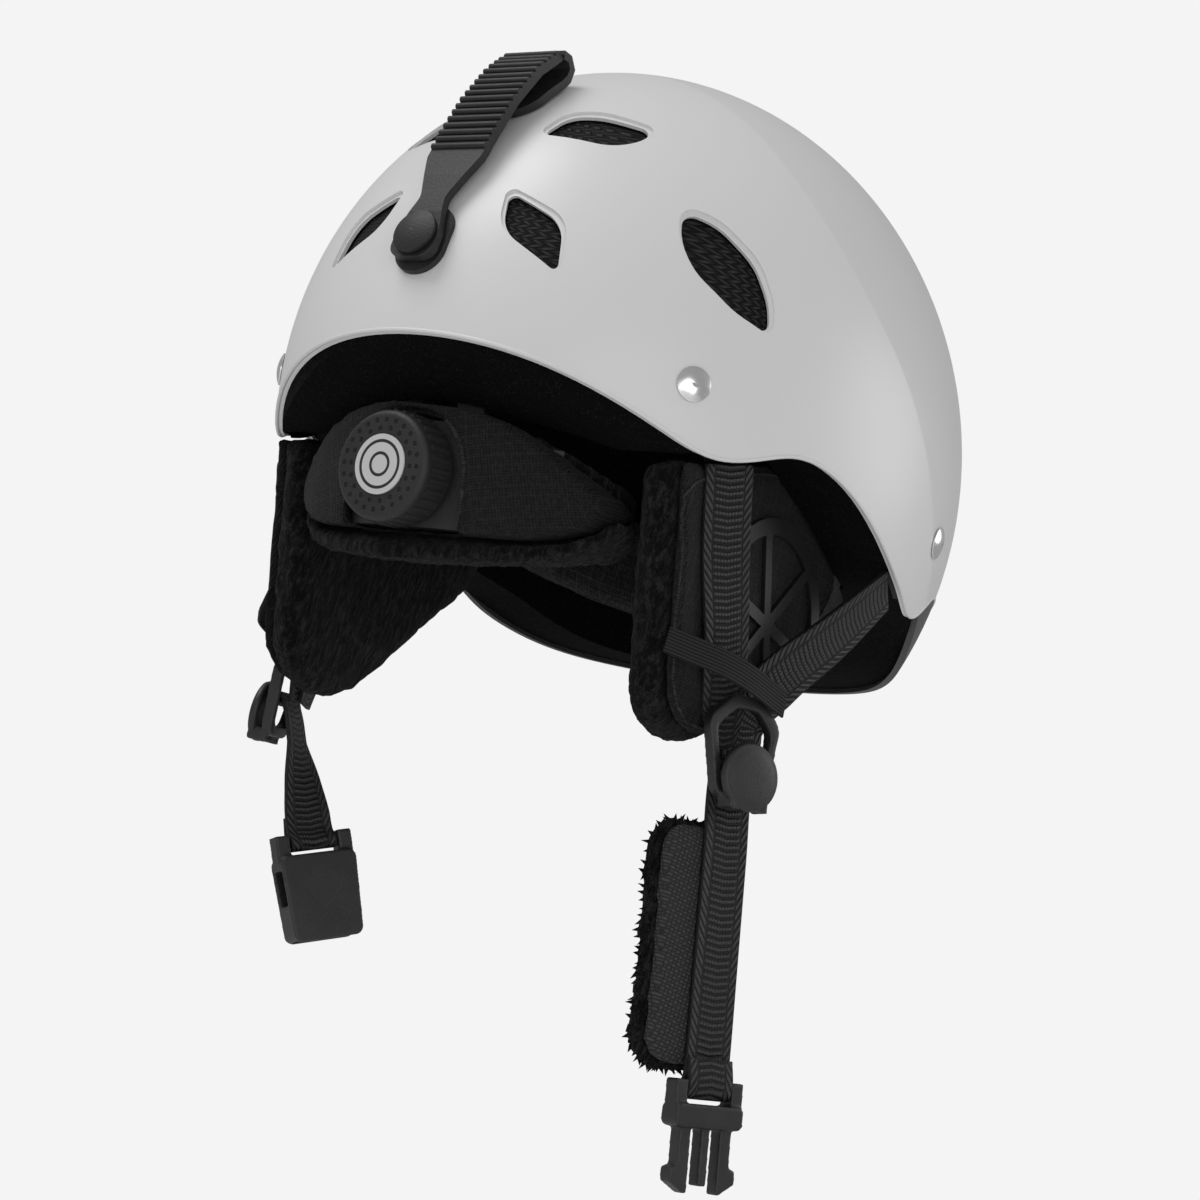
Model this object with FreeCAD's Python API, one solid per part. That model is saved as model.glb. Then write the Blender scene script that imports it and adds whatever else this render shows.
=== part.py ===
"""Ski helmet with ear flaps, dial fit system, goggle strap retainer and webbing harness.

Units are millimetres. +Z is up, -Y is towards the wearer's face and +X is towards the wearer's left.
The origin is the middle of the head cavity at its widest level.
Pieces that come in pairs are built for the wearer's right side and mirrored to the left.
"""
import FreeCAD, Part

import math
import os
from FreeCAD import Matrix, Placement, Rotation, Vector

# --- hard shell and foam liner ---------------------------------------------------------------
SHELL_HALF_WIDTH = 114.6
SHELL_HALF_LENGTH = 138.0
SHELL_HEIGHT = 132.3
SHELL_WALL = 2.2
LINER_GAP = 0.15
CAVITY_HALF_WIDTH = 86.0
CAVITY_HALF_LENGTH = 110.0
CAVITY_HEIGHT = 101.0
REACH = 200.0
UNIT_RADIUS = 100.0

# Lower edges in side view, as (y, z), from behind the helmet to in front of it.
SHELL_EDGE = [
    (150, -27.5), (136, -29), (125, -30.8), (108, -34.5), (92, -38), (77, -39), (66, -33.5),
    (55, -26), (36, -23), (12, -26.5), (-12, -31.5), (-32, -34.5), (-46, -34), (-55, -27),
    (-64, -18.5), (-80, -13.5), (-105, -11.5), (-150, -10.5),
]
LINER_EDGE = [
    (150, -25), (134, -29), (120, -36), (106, -41.5), (90, -41.5), (77, -40), (66, -34),
    (55, -25), (36, -21.5), (12, -25), (-12, -30), (-32, -33), (-48, -33.5), (-62, -34.5),
    (-80, -38), (-96, -38.5), (-115, -35.5), (-150, -29),
]
BRIM_EDGE = [
    (-40, -28), (-56, -31.5), (-66, -36.5), (-80, -39.8), (-96, -40.3), (-115, -37.4), (-150, -30.5),
]
BRIM_GAP = 0.3
BRIM_REAR_Y = -52.0

# --- vents -----------------------------------------------------------------------------------
# Each vent is the y and z of its middle on the shell, and its outline.
# Outline points are (forward along the shell, up along the shell) from that middle.
UPPER_VENT = [(-18.4, -8.2), (-12.4, 5.2), (-3.0, 8.0), (16.0, 7.4), (12.5, -2.4), (4.8, -8.2)]
REAR_VENT = [(-13.2, 13.6), (8.2, 4.8), (12.0, -13.4), (-7.2, -3.4), (-10.8, 1.5)]
SIDE_VENT = [
    (-17.4, 13.4), (-5.0, 13.4), (10.2, 5.6), (18.4, -5.2),
    (21.6, -16), (6.5, -14), (-8.4, -7.2), (-15.6, 1.5),
]
VENTS = {
    "upper": (116.9, 57.8, UPPER_VENT),
    "rear": (131.2, 10.0, REAR_VENT),
    "side": (94.0, 20.8, SIDE_VENT),
    "front": (-124.0, 38.0, REAR_VENT),
    "brow": (-104.0, 76.0, UPPER_VENT),
}
VENT_CORNER = 30.0
VENT_BLUNTING = 2.2
VENT_LIP = 1.6
VENT_LIP_LIFT = 0.8
VENT_LIP_DEPTH = 1.0
MESH_INSET = 2.9
MESH_THICKNESS = 1.4
MESH_CLEARANCE = 0.25

# --- harness anchors: rivets through the shell, as (y, z) --------------------------------------
REAR_RIVET = (91.9, -21.7)
FRONT_RIVET = (-38.0, -9.0)
RIVET_HEAD_RADIUS = 5.6
RIVET_HEAD_HEIGHT = 1.9
RIVET_SHANK_RADIUS = 2.0
RIVET_LENGTH = 8.6
RIVET_CLEARANCE = 0.15
WASHER_RADIUS = 6.0
WASHER_THICKNESS = 1.0
POCKET_MARGIN = 1.0
STRAP_END_ABOVE_RIVET = 9.0
STRAP_END_BELOW_RIVET = 45.0

# --- webbing ---------------------------------------------------------------------------------
WEBBING_WIDTH = 15.5
WEBBING_THICKNESS = 1.6
WEBBING_GAP = 0.3
LEG_SET_BACK = 2.9
FRONT_LEG_GAP = 0.4
REAR_LEG_BEND = Vector(-2.4, 14.0, 34.0)
REAR_EXIT = Vector(-87.6, 68.0, -37.6)
FRONT_EXIT = Vector(-105.4, -21.0, -35.6)

# --- ear flap --------------------------------------------------------------------------------
FLAP_OUTER_X = -84.0
FLAP_SHELL_THICKNESS = 9.0
FLAP_LINING_THICKNESS = 8.6
FLAP_LAYER_GAP = 0.2
FLAP_POCKET_GAP = 0.5
FLAP_OUTLINE = [
    (84, -46), (76, -63), (69, -79), (62, -93), (55, -108), (43, -116), (28, -115), (14, -106),
    (0, -88), (-15, -66), (-28, -44), (-28, -28), (-12, -16.5), (6, -12.5), (26, -14), (50, -24), (74, -37),
]
LINING_OUTLINE = [
    (85.5, -50), (78, -66), (71, -81), (64, -95), (57, -110), (44, -118.5), (27, -117.5), (12, -108),
    (-2, -90), (-17, -67), (-30, -45), (-30, -29), (-13, -16.5), (6, -12.5), (26, -14), (50, -24), (76, -39),
]
BADGE_CENTRE = (12.6, -66.4)
BADGE_RADIUS = 35.0
BADGE_RING_WIDTH = 5.5
BADGE_BAR_WIDTH = 4.0
BADGE_THICKNESS = 1.2
BADGE_SEAM_MARGIN = 3.0
ELASTIC_WIDTH = 9.0
ELASTIC_THICKNESS = 1.0
ELASTIC_RUN = [Vector(-84.9, 66.0, -94.0), Vector(-95.4, 42.0, -93.6), Vector(-100.0, 12.0, -93.0)]

# --- strap divider and its lever ----------------------------------------------------------------
CROSS_BAR_DROP = 3.0
DIVIDER_CENTRE = Vector(-94.0, 20.0, -114.0)
DIVIDER_YAW = 22.0
DIVIDER_LEAN = 15.0
DIVIDER_THICKNESS = 4.2
DIVIDER_BAR = 4.5
DIVIDER_WINDOW_CORNER = 4.5
DIVIDER_OUTLINE = [(-14.6, 10.0), (-4.5, 18.4), (6.5, 18.4), (14.8, 10.0), (9.5, -15.5), (-9.5, -15.5)]
DIVIDER_CORNER = 6.5
CROSS_BAR_RADIUS = 1.5
LEVER_RADIUS = 10.8
LEVER_THICKNESS = 3.2
LEVER_CENTRE_DROP = 7.6
LEVER_GAP = 0.3
LEVER_STAND_OFF = 2.2
LEVER_PIN_RADIUS = 1.3
LEVER_PIN_DROP = 16.8
LEVER_PIN_REACH = 6.6
LEVER_EAR_WIDTH = 2.0
LEVER_EAR_RISE = 4.0

# --- chin straps and buckle ---------------------------------------------------------------------
LOOP_CLEARANCE = 0.3
LEFT_STRAP_LENGTH = 50.0
LEFT_STRAP_SWING = 25.0
LEFT_STRAP_TWIST = 48.0
TWIST_RUN = (14.0, 42.0)
TWIST_STEPS = 8
RIGHT_STRAP_LENGTH = 100.0
CHIN_PAD_WIDTH = 33.0
CHIN_PAD_LENGTH = 74.0
CHIN_PAD_TOP = 20.0
CHIN_PAD_OFFSET = -6.0
CHIN_PAD_THICKNESS = 4.5
CHIN_PAD_CORNER = 9.0
CHIN_FLEECE_MARGIN = 2.0
CHIN_FLEECE_THICKNESS = 5.0
BUCKLE_WIDTH = 29.0
BUCKLE_LENGTH = 30.0
BUCKLE_THICKNESS = 10.0
BUCKLE_WALL = 1.7
BUCKLE_BAR_RADIUS = 1.6
BUCKLE_TAPER = 1.5
BUCKLE_CORNER = 3.0
BUCKLE_BAR_RISE = 4.6
BUCKLE_SLOT = (-17.0, -5.0)
HORN_WIDTH = 5.2
HORN_DEPTH = 6.0
HORN_ROOT = 3.0
HORN_RISE = 7.2
PLUG_SHOULDER = 7.0
PLUG_SHOULDER_DEPTH = 8.0
PLUG_SHOULDER_CORNER = 2.0
PLUG_HORN_WIDTH = 4.4
PLUG_GUIDE_WIDTH = 3.2
PRONG_LENGTH = 21.0
PRONG_WIDTH = 4.4
PRONG_THICKNESS = 5.0
PRONG_BARB = 2.6
PRONG_INSET = 4.4
PRONG_CORNER = 0.8

# --- nape pad and dial; radii are from the curved pad's upright axis ---------------------------------
DIAL_FACE = Vector(0.0, 121.0, -70.0)
DIAL_TILT = 18.0
DIAL_RADIUS = 17.6
DIAL_THICKNESS = 14.0
DIAL_PROUD = 9.0
DIAL_EDGE_FILLET = 2.2
DIAL_LUGS = 32
DIAL_LUG_RADIUS = 1.0
DIAL_DIMPLE_RADIUS = 0.75
DIAL_DIMPLE_RINGS = [(11.6, 18), (14.3, 24)]
DIAL_DISC_RADIUS = 9.6
DIAL_DISC_THICKNESS = 1.6
DIAL_DISC_PROUD = 0.4
NAPE_RADIUS = 83.0
NAPE_PAD_THICKNESS = 14.0
NAPE_LINING_THICKNESS = 6.2
NAPE_GAP = 0.3
NAPE_OUTLINE = [
    (0, 23), (20, 22), (40, 15), (54, 4.5), (61, -4), (54, -13), (32, -18.6), (0, -20),
    (-32, -18.6), (-54, -13), (-61, -4), (-54, 4.5), (-40, 15), (-20, 22),
]
NAPE_LINING_OUTLINE = [
    (0, 21), (20, 20), (40, 14), (55, 4.5), (63.5, -5), (57, -17), (34, -24.6), (0, -26.5),
    (-34, -24.6), (-57, -17), (-63.5, -5), (-55, 4.5), (-40, 14), (-20, 20),
]
NAPE_BORDER_RADIUS = 80.0
NAPE_BORDER_TOP = -6.0
WINDOW_HALF_WIDTH = 20.8
WINDOW_TOP = 20.0
WINDOW_ROUNDNESS = 0.96
WINDOW_FLOOR = 4.0
NAPE_SPAN = (-40.0, 40.0)
NAPE_SWEEP = (-62.0, 62.0)
CRADLE_THICKNESS = 2.0
CRADLE_HALF_ANGLE = 38.0
CRADLE_HEIGHT = (-12.0, 13.0)
CRADLE_TAB_ANGLES = (7.0, 15.0)
CRADLE_TAB_RISE = 27.0
CRADLE_TAB_X = (8.4, 17.4)
CRADLE_TAB_Y = 104.4
CRADLE_TAB_Z = (-39.0, 4.0)
HOUSING_HALF_ANGLE = 19.0
HOUSING_HALF_HEIGHT = 17.0
HOUSING_WALL = 1.8
HOUSING_DEPTH = 8.6
PINION_RADIUS = 6.0
PINION_TEETH = 12
PINION_SHAFT_RADIUS = 3.0
TOOTH_WIDTH = 0.9
TOOTH_REACH = 0.6
TOOTH_ROOT = 1.0
RACK_HEIGHT = 5.6
RACK_THICKNESS = 2.2
RACK_ARC = (-17.0, 22.0)
RACK_TRAVEL_ANGLE = 12.0
RUNNING_GAP = 0.3

# --- fit band and comfort padding -----------------------------------------------------------------
BAND_THICKNESS = 1.8
BAND_HEIGHT = (-9.0, 6.0)
SEAT_GAP = 0.3
BROW_PAD_THICKNESS = 8.0
BROW_PAD_HEIGHT = (-26.0, 14.0)
BROW_PAD_REAR_Y = -36.0
TOP_PAD_THICKNESS = 7.0
CROWN_PAD_OUTLINE = [
    (-17, -62), (17, -62), (20, -12), (58, -12), (58, 22), (20, 22), (15, 58), (-15, 58),
    (-20, 22), (-58, 22), (-58, -12), (-20, -12),
]
REAR_PAD_OUTLINE = [(-34, 12), (34, 12), (27, 40), (-27, 40)]
PAD_CORNER = 9.0

# --- goggle strap retainer; side-view places are (y, z) -----------------------------------------------
RETAINER_THICKNESS = 3.0
RETAINER_WIDTH = 21.5
RETAINER_NECK_WIDTH = 9.6
RETAINER_END_RADIUS = 8.4
RETAINER_CORNER = 7.0
RETAINER_CREST = (120.2, 85.0)
RETAINER_RUN = [(127.2, 74.0), (133.2, 58.0), (136.8, 42.0), (139.9, 24.0), (141.8, 9.0), (142.0, -9.0)]
RETAINER_RIB_COUNT = 17
RETAINER_RIB_RADIUS = 1.1
RETAINER_RIB_END = 32.0
RETAINER_NECK_Z = 15.0
ANCHOR_FOLD = [(115.6, 87.3), (112.6, 85.2), (112.6, 81.2), (114.4, 77.6), (118.7, 71.0), (126.4, 57.6)]
ANCHOR_TIP_Z = 57.0
ANCHOR_RIVET_Z = 67.5
SNAP_Z = 0.6
SNAP_RADIUS = 3.0
SNAP_ROOM = 1.2
CAP_RADIUS = 7.6
CAP_HEIGHT = 2.6
BASE_RADIUS = 9.2
BASE_THICKNESS = 2.0
BASE_Z = (-1.8, 4.6)


# --- general helpers ----------------------------------------------------------------------------

def semi_axes(inset):
    """The half sizes of the helmet's ellipsoid at a depth below its outer surface."""
    return (SHELL_HALF_WIDTH - inset, SHELL_HALF_LENGTH - inset, SHELL_HEIGHT - inset)


def stretched(shape, half_sizes):
    """A shape of unit radius, scaled to three half sizes."""
    matrix = Matrix()
    matrix.scale(Vector(*(size / UNIT_RADIUS for size in half_sizes)))
    return shape.transformGeometry(matrix)


def ellipsoid(inset):
    return stretched(Part.makeSphere(UNIT_RADIUS), semi_axes(inset))


def layer(outer_inset, inner_inset):
    """The closed skin between two depths below the helmet's outer surface."""
    return ellipsoid(outer_inset).cut(ellipsoid(inner_inset))


def cavity(inset):
    """The head cavity, domed above its widest level and straight below it."""
    half_sizes = (CAVITY_HALF_WIDTH - inset, CAVITY_HALF_LENGTH - inset, CAVITY_HEIGHT - inset)
    depth = REACH * UNIT_RADIUS / half_sizes[2]
    dome = Part.makeSphere(UNIT_RADIUS, Vector(), Vector(0, 0, 1), 0, 90, 360)
    well = Part.makeCylinder(UNIT_RADIUS, depth, Vector(0, 0, -depth))
    return stretched(dome.fuse(well).removeSplitter(), half_sizes)


def smooth_edge(points, closed=False):
    curve = Part.BSplineCurve()
    curve.interpolate(Points=points, PeriodicFlag=closed)
    return curve.toShape()


def above_edge(edge_points):
    """The whole space above a lower edge that is drawn in side view."""
    points = [Vector(-REACH, y, z) for y, z in edge_points]
    low = smooth_edge(points)
    top_first = Vector(-REACH, points[0].y, REACH)
    top_last = Vector(-REACH, points[-1].y, REACH)
    lines = [
        Part.makeLine(points[-1], top_last),
        Part.makeLine(top_last, top_first),
        Part.makeLine(top_first, points[0]),
    ]
    return Part.Face(Part.Wire([low] + lines)).extrude(Vector(2 * REACH, 0, 0))


def side_slab(outline, x_outer, thickness):
    """A closed side-view outline, swept inwards from x_outer."""
    points = [Vector(x_outer, y, z) for y, z in outline]
    wire = Part.Wire([smooth_edge(points, closed=True)])
    return Part.Face(wire).extrude(Vector(thickness, 0, 0))


def rounded_wire(points, radius, blunting=0.0):
    """A flat closed outline in XY whose corners are arcs, each limited by its two sides.

    With blunting, a sharp corner gets a smaller arc than a blunt one.
    """
    count = len(points)
    corners = []
    for index in range(count):
        corner = Vector(*points[index], 0)
        before = Vector(*points[index - 1], 0) - corner
        after = Vector(*points[(index + 1) % count], 0) - corner
        half_angle = before.getAngle(after) / 2
        wanted = radius * (half_angle / (math.pi / 2)) ** blunting
        reach = min(wanted / math.tan(half_angle), 0.48 * before.Length, 0.48 * after.Length)
        middle_way = (before.normalize() + after.normalize()).normalize()
        arc_radius = reach * math.tan(half_angle)
        middle = corner + middle_way * (arc_radius / math.sin(half_angle) - arc_radius)
        corners.append((corner + before * reach, middle, corner + after * reach))
    edges = []
    for index, (start, middle, end) in enumerate(corners):
        edges.append(Part.Arc(start, middle, end).toShape())
        next_start = corners[(index + 1) % count][0]
        if (next_start - end).Length > 1e-4:
            edges.append(Part.makeLine(end, next_start))
    return Part.Wire(edges)


def rounded_prism(points, radius, low, high, blunting=0.0):
    """A prism along Z from low to high with a rounded outline."""
    face = Part.Face(rounded_wire(points, radius, blunting))
    face.translate(Vector(0, 0, low))
    return face.extrude(Vector(0, 0, high - low))


def placed(shape, origin, x_axis, z_axis):
    """The shape moved from the world's axes to a local frame."""
    y_axis = z_axis.cross(x_axis)
    frame = Placement(origin, Rotation(x_axis, y_axis, z_axis, "ZXY"))
    moved = shape.copy()
    moved.Placement = frame.multiply(moved.Placement)
    return moved


def box(x, y, z):
    """A box from three (low, high) pairs."""
    size = [high - low for low, high in (x, y, z)]
    return Part.makeBox(*size, Vector(x[0], y[0], z[0]))


def mirrored(shape):
    return shape.mirror(Vector(0, 0, 0), Vector(1, 0, 0))


def both_sides(shape):
    return [shape, mirrored(shape)]


def join(shapes):
    return shapes[0].multiFuse(shapes[1:]).removeSplitter()


def cut_all(shape, tools):
    for tool in tools:
        shape = shape.cut(tool)
    return shape


def largest(shape):
    """The main solid, without the slivers that a cut can leave at an edge."""
    return max(shape.Solids, key=lambda solid: solid.Volume)


def export(node, shapes):
    """Write one node: a solid, or a group of separate solids."""
    parts = shapes if isinstance(shapes, list) else [shapes]
    solids = [solid for part in parts for solid in part.Solids]
    shape = solids[0] if len(solids) == 1 else Part.makeCompound(solids)
    shape.exportStep(f"parts/{node}.step")
    print(node, len(solids), "solids", round(shape.Volume), "mm3", "valid" if shape.isValid() else "INVALID")


def export_pair(name, shape):
    export(f"{name}_right", shape)
    export(f"{name}_left", mirrored(shape))


# --- places on the outer surface -------------------------------------------------------------------

def surface_frame(y, z, side=-1):
    """Point, forward, up and outward directions on the shell at a side-view place."""
    half_x, half_y, half_z = semi_axes(0)
    x = side * half_x * math.sqrt(1 - (y / half_y) ** 2 - (z / half_z) ** 2)
    point = Vector(x, y, z)
    outward = Vector(x / half_x ** 2, y / half_y ** 2, z / half_z ** 2).normalize()
    forward = Vector(0, 0, 1).cross(outward).normalize()
    return point, forward, outward.cross(forward), outward


def on_surface(shape, frame):
    point, forward, _, outward = frame
    return placed(shape, point, forward, outward)


# --- shell, liner, brim and vents --------------------------------------------------------------------

def vent_outline(name):
    """A vent's outline; vents ahead of the ears are turned so that they lean backwards."""
    y, _, outline = VENTS[name]
    if y > 0:
        return outline
    return [(-across, up) for across, up in reversed(outline)]


def grown(outline, margin):
    """An outline with each corner moved out from the middle."""
    result = []
    for across, up in outline:
        reach = math.hypot(across, up)
        scale = (reach + margin) / reach
        result.append((across * scale, up * scale))
    return result


def vent_prism(name, margin, low, high, lift=0.0):
    """A vent's outline through the shell, moved out by a margin and up by a lift."""
    y, z, _ = VENTS[name]
    outline = [(across, up + lift) for across, up in grown(vent_outline(name), margin)]
    return on_surface(rounded_prism(outline, VENT_CORNER, low, high, VENT_BLUNTING), surface_frame(y, z))


def vent_meshes():
    """Knit mesh behind each vent, held in the liner's channel."""
    skin = layer(MESH_INSET, MESH_INSET + MESH_THICKNESS)
    for name in VENTS:
        mesh = skin.common(vent_prism(name, -MESH_CLEARANCE, -40, 10))
        export_pair(f"vent_mesh_{name}", mesh)


def rivet_frames():
    return [surface_frame(*REAR_RIVET), surface_frame(*FRONT_RIVET)]


def strap_end_box(rivet, exit_point, width, low, high):
    """A flat bar on the surface, from just above a rivet down past the shell's edge."""
    point, _, _, outward = surface_frame(*rivet)
    run = exit_point - point
    run = (run - outward * run.dot(outward)).normalize()
    bar = box((-STRAP_END_ABOVE_RIVET, STRAP_END_BELOW_RIVET), (-width / 2, width / 2), (low, high))
    return placed(bar, point, run, outward)


def strap_end_bars(margin, low, high):
    width = WEBBING_WIDTH + 2 * margin
    return [
        strap_end_box(REAR_RIVET, REAR_EXIT, width, low, high),
        strap_end_box(FRONT_RIVET, FRONT_EXIT, width, low, high),
    ]


def outer_shell():
    shell = layer(0, SHELL_WALL).common(above_edge(SHELL_EDGE))
    lip_skin = layer(-5, VENT_LIP_DEPTH)
    tools = []
    for name in VENTS:
        hole = vent_prism(name, 0, -12, 10)
        lip = vent_prism(name, VENT_LIP, -12, 10, VENT_LIP_LIFT).common(lip_skin)
        tools += both_sides(hole) + both_sides(lip)
    for frame in rivet_frames():
        tools += both_sides(on_surface(rivet_bore(), frame))
    tools += [on_surface(rivet_bore(), centre_frame(z)) for z in (SNAP_Z, ANCHOR_RIVET_Z)]
    return cut_all(shell, tools)


def rivet_bore():
    """A long clearance hole for a rivet's shank, through the surface at z = 0."""
    return Part.makeCylinder(RIVET_SHANK_RADIUS + RIVET_CLEARANCE, REACH / 5, Vector(0, 0, -REACH / 10))


def centre_frame(z):
    """A frame on the rear of the shell, on the centre line."""
    y = SHELL_HALF_LENGTH * math.sqrt(1 - (z / SHELL_HEIGHT) ** 2)
    outward = Vector(0, y / SHELL_HALF_LENGTH ** 2, z / SHELL_HEIGHT ** 2).normalize()
    forward = Vector(0, 0, 1).cross(outward).normalize()
    return Vector(0, y, z), forward, outward.cross(forward), outward


def eps_liner():
    outer_inset = SHELL_WALL + LINER_GAP
    liner = ellipsoid(outer_inset).cut(cavity(0)).common(above_edge(LINER_EDGE))
    tools = []
    for name in VENTS:
        tools += both_sides(vent_prism(name, 0, -70, 10))
    tools += both_sides(flap_pocket())
    strap_skin = layer(0, outer_inset + WEBBING_THICKNESS + 2 * WEBBING_GAP)
    for bar in strap_end_bars(WEBBING_GAP, -30, 10):
        tools += both_sides(bar.common(strap_skin))
    for frame in rivet_frames():
        tools += both_sides(on_surface(rivet_well(WASHER_RADIUS), frame))
    tools += [on_surface(rivet_well(RIVET_SHANK_RADIUS), centre_frame(z)) for z in (SNAP_Z, ANCHOR_RIVET_Z)]
    return largest(cut_all(liner, tools))


def rivet_well(radius):
    """Room in the foam for a rivet's inner end."""
    depth = RIVET_LENGTH + POCKET_MARGIN
    return Part.makeCylinder(radius + POCKET_MARGIN, depth, Vector(0, 0, -depth))


def flap_pocket():
    """The space that the ear flap's top takes up inside the helmet's edge."""
    flap_depth = FLAP_SHELL_THICKNESS + FLAP_LINING_THICKNESS + FLAP_LAYER_GAP
    outline = flap_outline_grown(FLAP_POCKET_GAP)
    return side_slab(outline, FLAP_OUTER_X - FLAP_POCKET_GAP, flap_depth + REACH / 4)


def flap_outline_grown(margin):
    """The ear flap's outline, moved out from its middle by a margin, or inwards if it is negative."""
    middle_y = sum(y for y, _ in FLAP_OUTLINE) / len(FLAP_OUTLINE)
    middle_z = sum(z for _, z in FLAP_OUTLINE) / len(FLAP_OUTLINE)
    local = [(y - middle_y, z - middle_z) for y, z in FLAP_OUTLINE]
    return [(y + middle_y, z + middle_z) for y, z in grown(local, margin)]


def front_brim():
    """The dark lower front edge, which carries on the shell's surface below its light part."""
    behind_shell_edge = above_edge([(y, z - BRIM_GAP) for y, z in SHELL_EDGE])
    ahead = box((-REACH, REACH), (-REACH, BRIM_REAR_Y), (-REACH, REACH))
    skin = layer(0, SHELL_WALL).common(ahead)
    return skin.common(above_edge(BRIM_EDGE)).cut(behind_shell_edge)


# --- rivets, washers and the ends of the webbing under the shell -----------------------------------------

def domed_head(radius, height, thickness):
    """A round head whose flat underside is at z = 0."""
    dome_radius = (radius ** 2 + (height - thickness) ** 2) / (2 * (height - thickness))
    ball = Part.makeSphere(dome_radius, Vector(0, 0, height - dome_radius))
    return Part.makeCylinder(radius, height).common(ball)


def strap_rivets():
    head = domed_head(RIVET_HEAD_RADIUS, RIVET_HEAD_HEIGHT, 0.5)
    head.translate(Vector(0, 0, 0.15))
    shank = Part.makeCylinder(RIVET_SHANK_RADIUS, RIVET_LENGTH + 0.5, Vector(0, 0, -RIVET_LENGTH))
    rivet = head.fuse(shank).removeSplitter()
    return [part for frame in rivet_frames() for part in both_sides(on_surface(rivet, frame))]


def rivet_washers():
    seat = -(SHELL_WALL + LINER_GAP + WEBBING_THICKNESS + 2 * WEBBING_GAP)
    ring = Part.makeCylinder(WASHER_RADIUS, WASHER_THICKNESS, Vector(0, 0, seat - WASHER_THICKNESS))
    ring = ring.cut(Part.makeCylinder(RIVET_SHANK_RADIUS + RIVET_CLEARANCE / 3, 20, Vector(0, 0, -15)))
    return [part for frame in rivet_frames() for part in both_sides(on_surface(ring, frame))]


def strap_ends():
    """The riveted ends of the harness webbing, between the shell and the liner."""
    outer_inset = SHELL_WALL + LINER_GAP + WEBBING_GAP / 2
    skin = layer(outer_inset, outer_inset + WEBBING_THICKNESS).common(above_edge(SHELL_EDGE))
    for name, bar, frame in zip(("rear", "front"), strap_end_bars(0, -30, 10), rivet_frames()):
        end = cut_all(skin.common(bar), [on_surface(rivet_bore(), frame), flap_pocket()])
        export_pair(f"strap_end_{name}", end)


# --- ear flaps -----------------------------------------------------------------------------------------

def ribbon(points, width, thickness, face):
    """Flat webbing along points that lie in one plane, with its face turned towards a direction."""
    run = (points[-1] - points[0]).normalize()
    across = run.cross(face).normalize()
    normal = across.cross(run).normalize()
    lifts = []
    for index, point in enumerate(points):
        before = points[max(index - 1, 0)]
        after = points[min(index + 1, len(points) - 1)]
        way = after - before
        way = (way - across * way.dot(across)).normalize()
        lifts.append(across.cross(way) * (thickness / 2))
    flat = [point - across * (point - points[0]).dot(across) for point in points]
    upper = [point + lift for point, lift in zip(flat, lifts)]
    lower = [point - lift for point, lift in zip(flat, lifts)]
    outline = upper + lower[::-1]
    face_wire = Part.makePolygon([p - across * (width / 2) for p in outline + outline[:1]])
    return Part.Face(face_wire).extrude(across * width)


def divider_axes():
    """Across, up and outward directions of the right-hand strap divider."""
    yaw = math.radians(DIVIDER_YAW)
    lean = math.radians(DIVIDER_LEAN)
    outward = Vector(-math.cos(yaw), math.sin(yaw), 0)
    level = Vector(0, 0, 1).cross(outward)
    up = Vector(0, 0, 1) * math.cos(lean) - level * math.sin(lean)
    return up.cross(outward), up, outward


def at_divider(shape):
    """A shape drawn in the divider's face, with X across, Y up and Z outward."""
    across, _, outward = divider_axes()
    return placed(shape, DIVIDER_CENTRE, across, outward)


def divider_point(across_by, up_by, out_by):
    across, up, outward = divider_axes()
    return DIVIDER_CENTRE + across * across_by + up * up_by + outward * out_by


def ear_flap():
    export_pair("ear_flap_shell", side_slab(FLAP_OUTLINE, FLAP_OUTER_X, FLAP_SHELL_THICKNESS))
    lining_x = FLAP_OUTER_X + FLAP_SHELL_THICKNESS + FLAP_LAYER_GAP
    export_pair("ear_flap_lining", side_slab(LINING_OUTLINE, lining_x, FLAP_LINING_THICKNESS))
    export_pair("ear_flap_badge", ear_badge())


def ear_badge():
    """A moulded ring with a plain six-armed star."""
    ring = Part.makeCylinder(BADGE_RADIUS, BADGE_THICKNESS)
    ring = ring.cut(Part.makeCylinder(BADGE_RADIUS - BADGE_RING_WIDTH, BADGE_THICKNESS))
    parts = [ring]
    for turn in (0, 60, 120):
        reach = BADGE_RADIUS - BADGE_RING_WIDTH / 2
        bar = box((-reach, reach), (-BADGE_BAR_WIDTH / 2, BADGE_BAR_WIDTH / 2), (0, BADGE_THICKNESS))
        bar.rotate(Vector(), Vector(0, 0, 1), turn)
        parts.append(bar)
    seat = Vector(FLAP_OUTER_X - FLAP_LAYER_GAP, *BADGE_CENTRE)
    badge = placed(join(parts), seat, Vector(0, -1, 0), Vector(-1, 0, 0))
    inside_seam = side_slab(flap_outline_grown(-BADGE_SEAM_MARGIN), FLAP_OUTER_X - 5, 10)
    return largest(badge.common(inside_seam))


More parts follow.
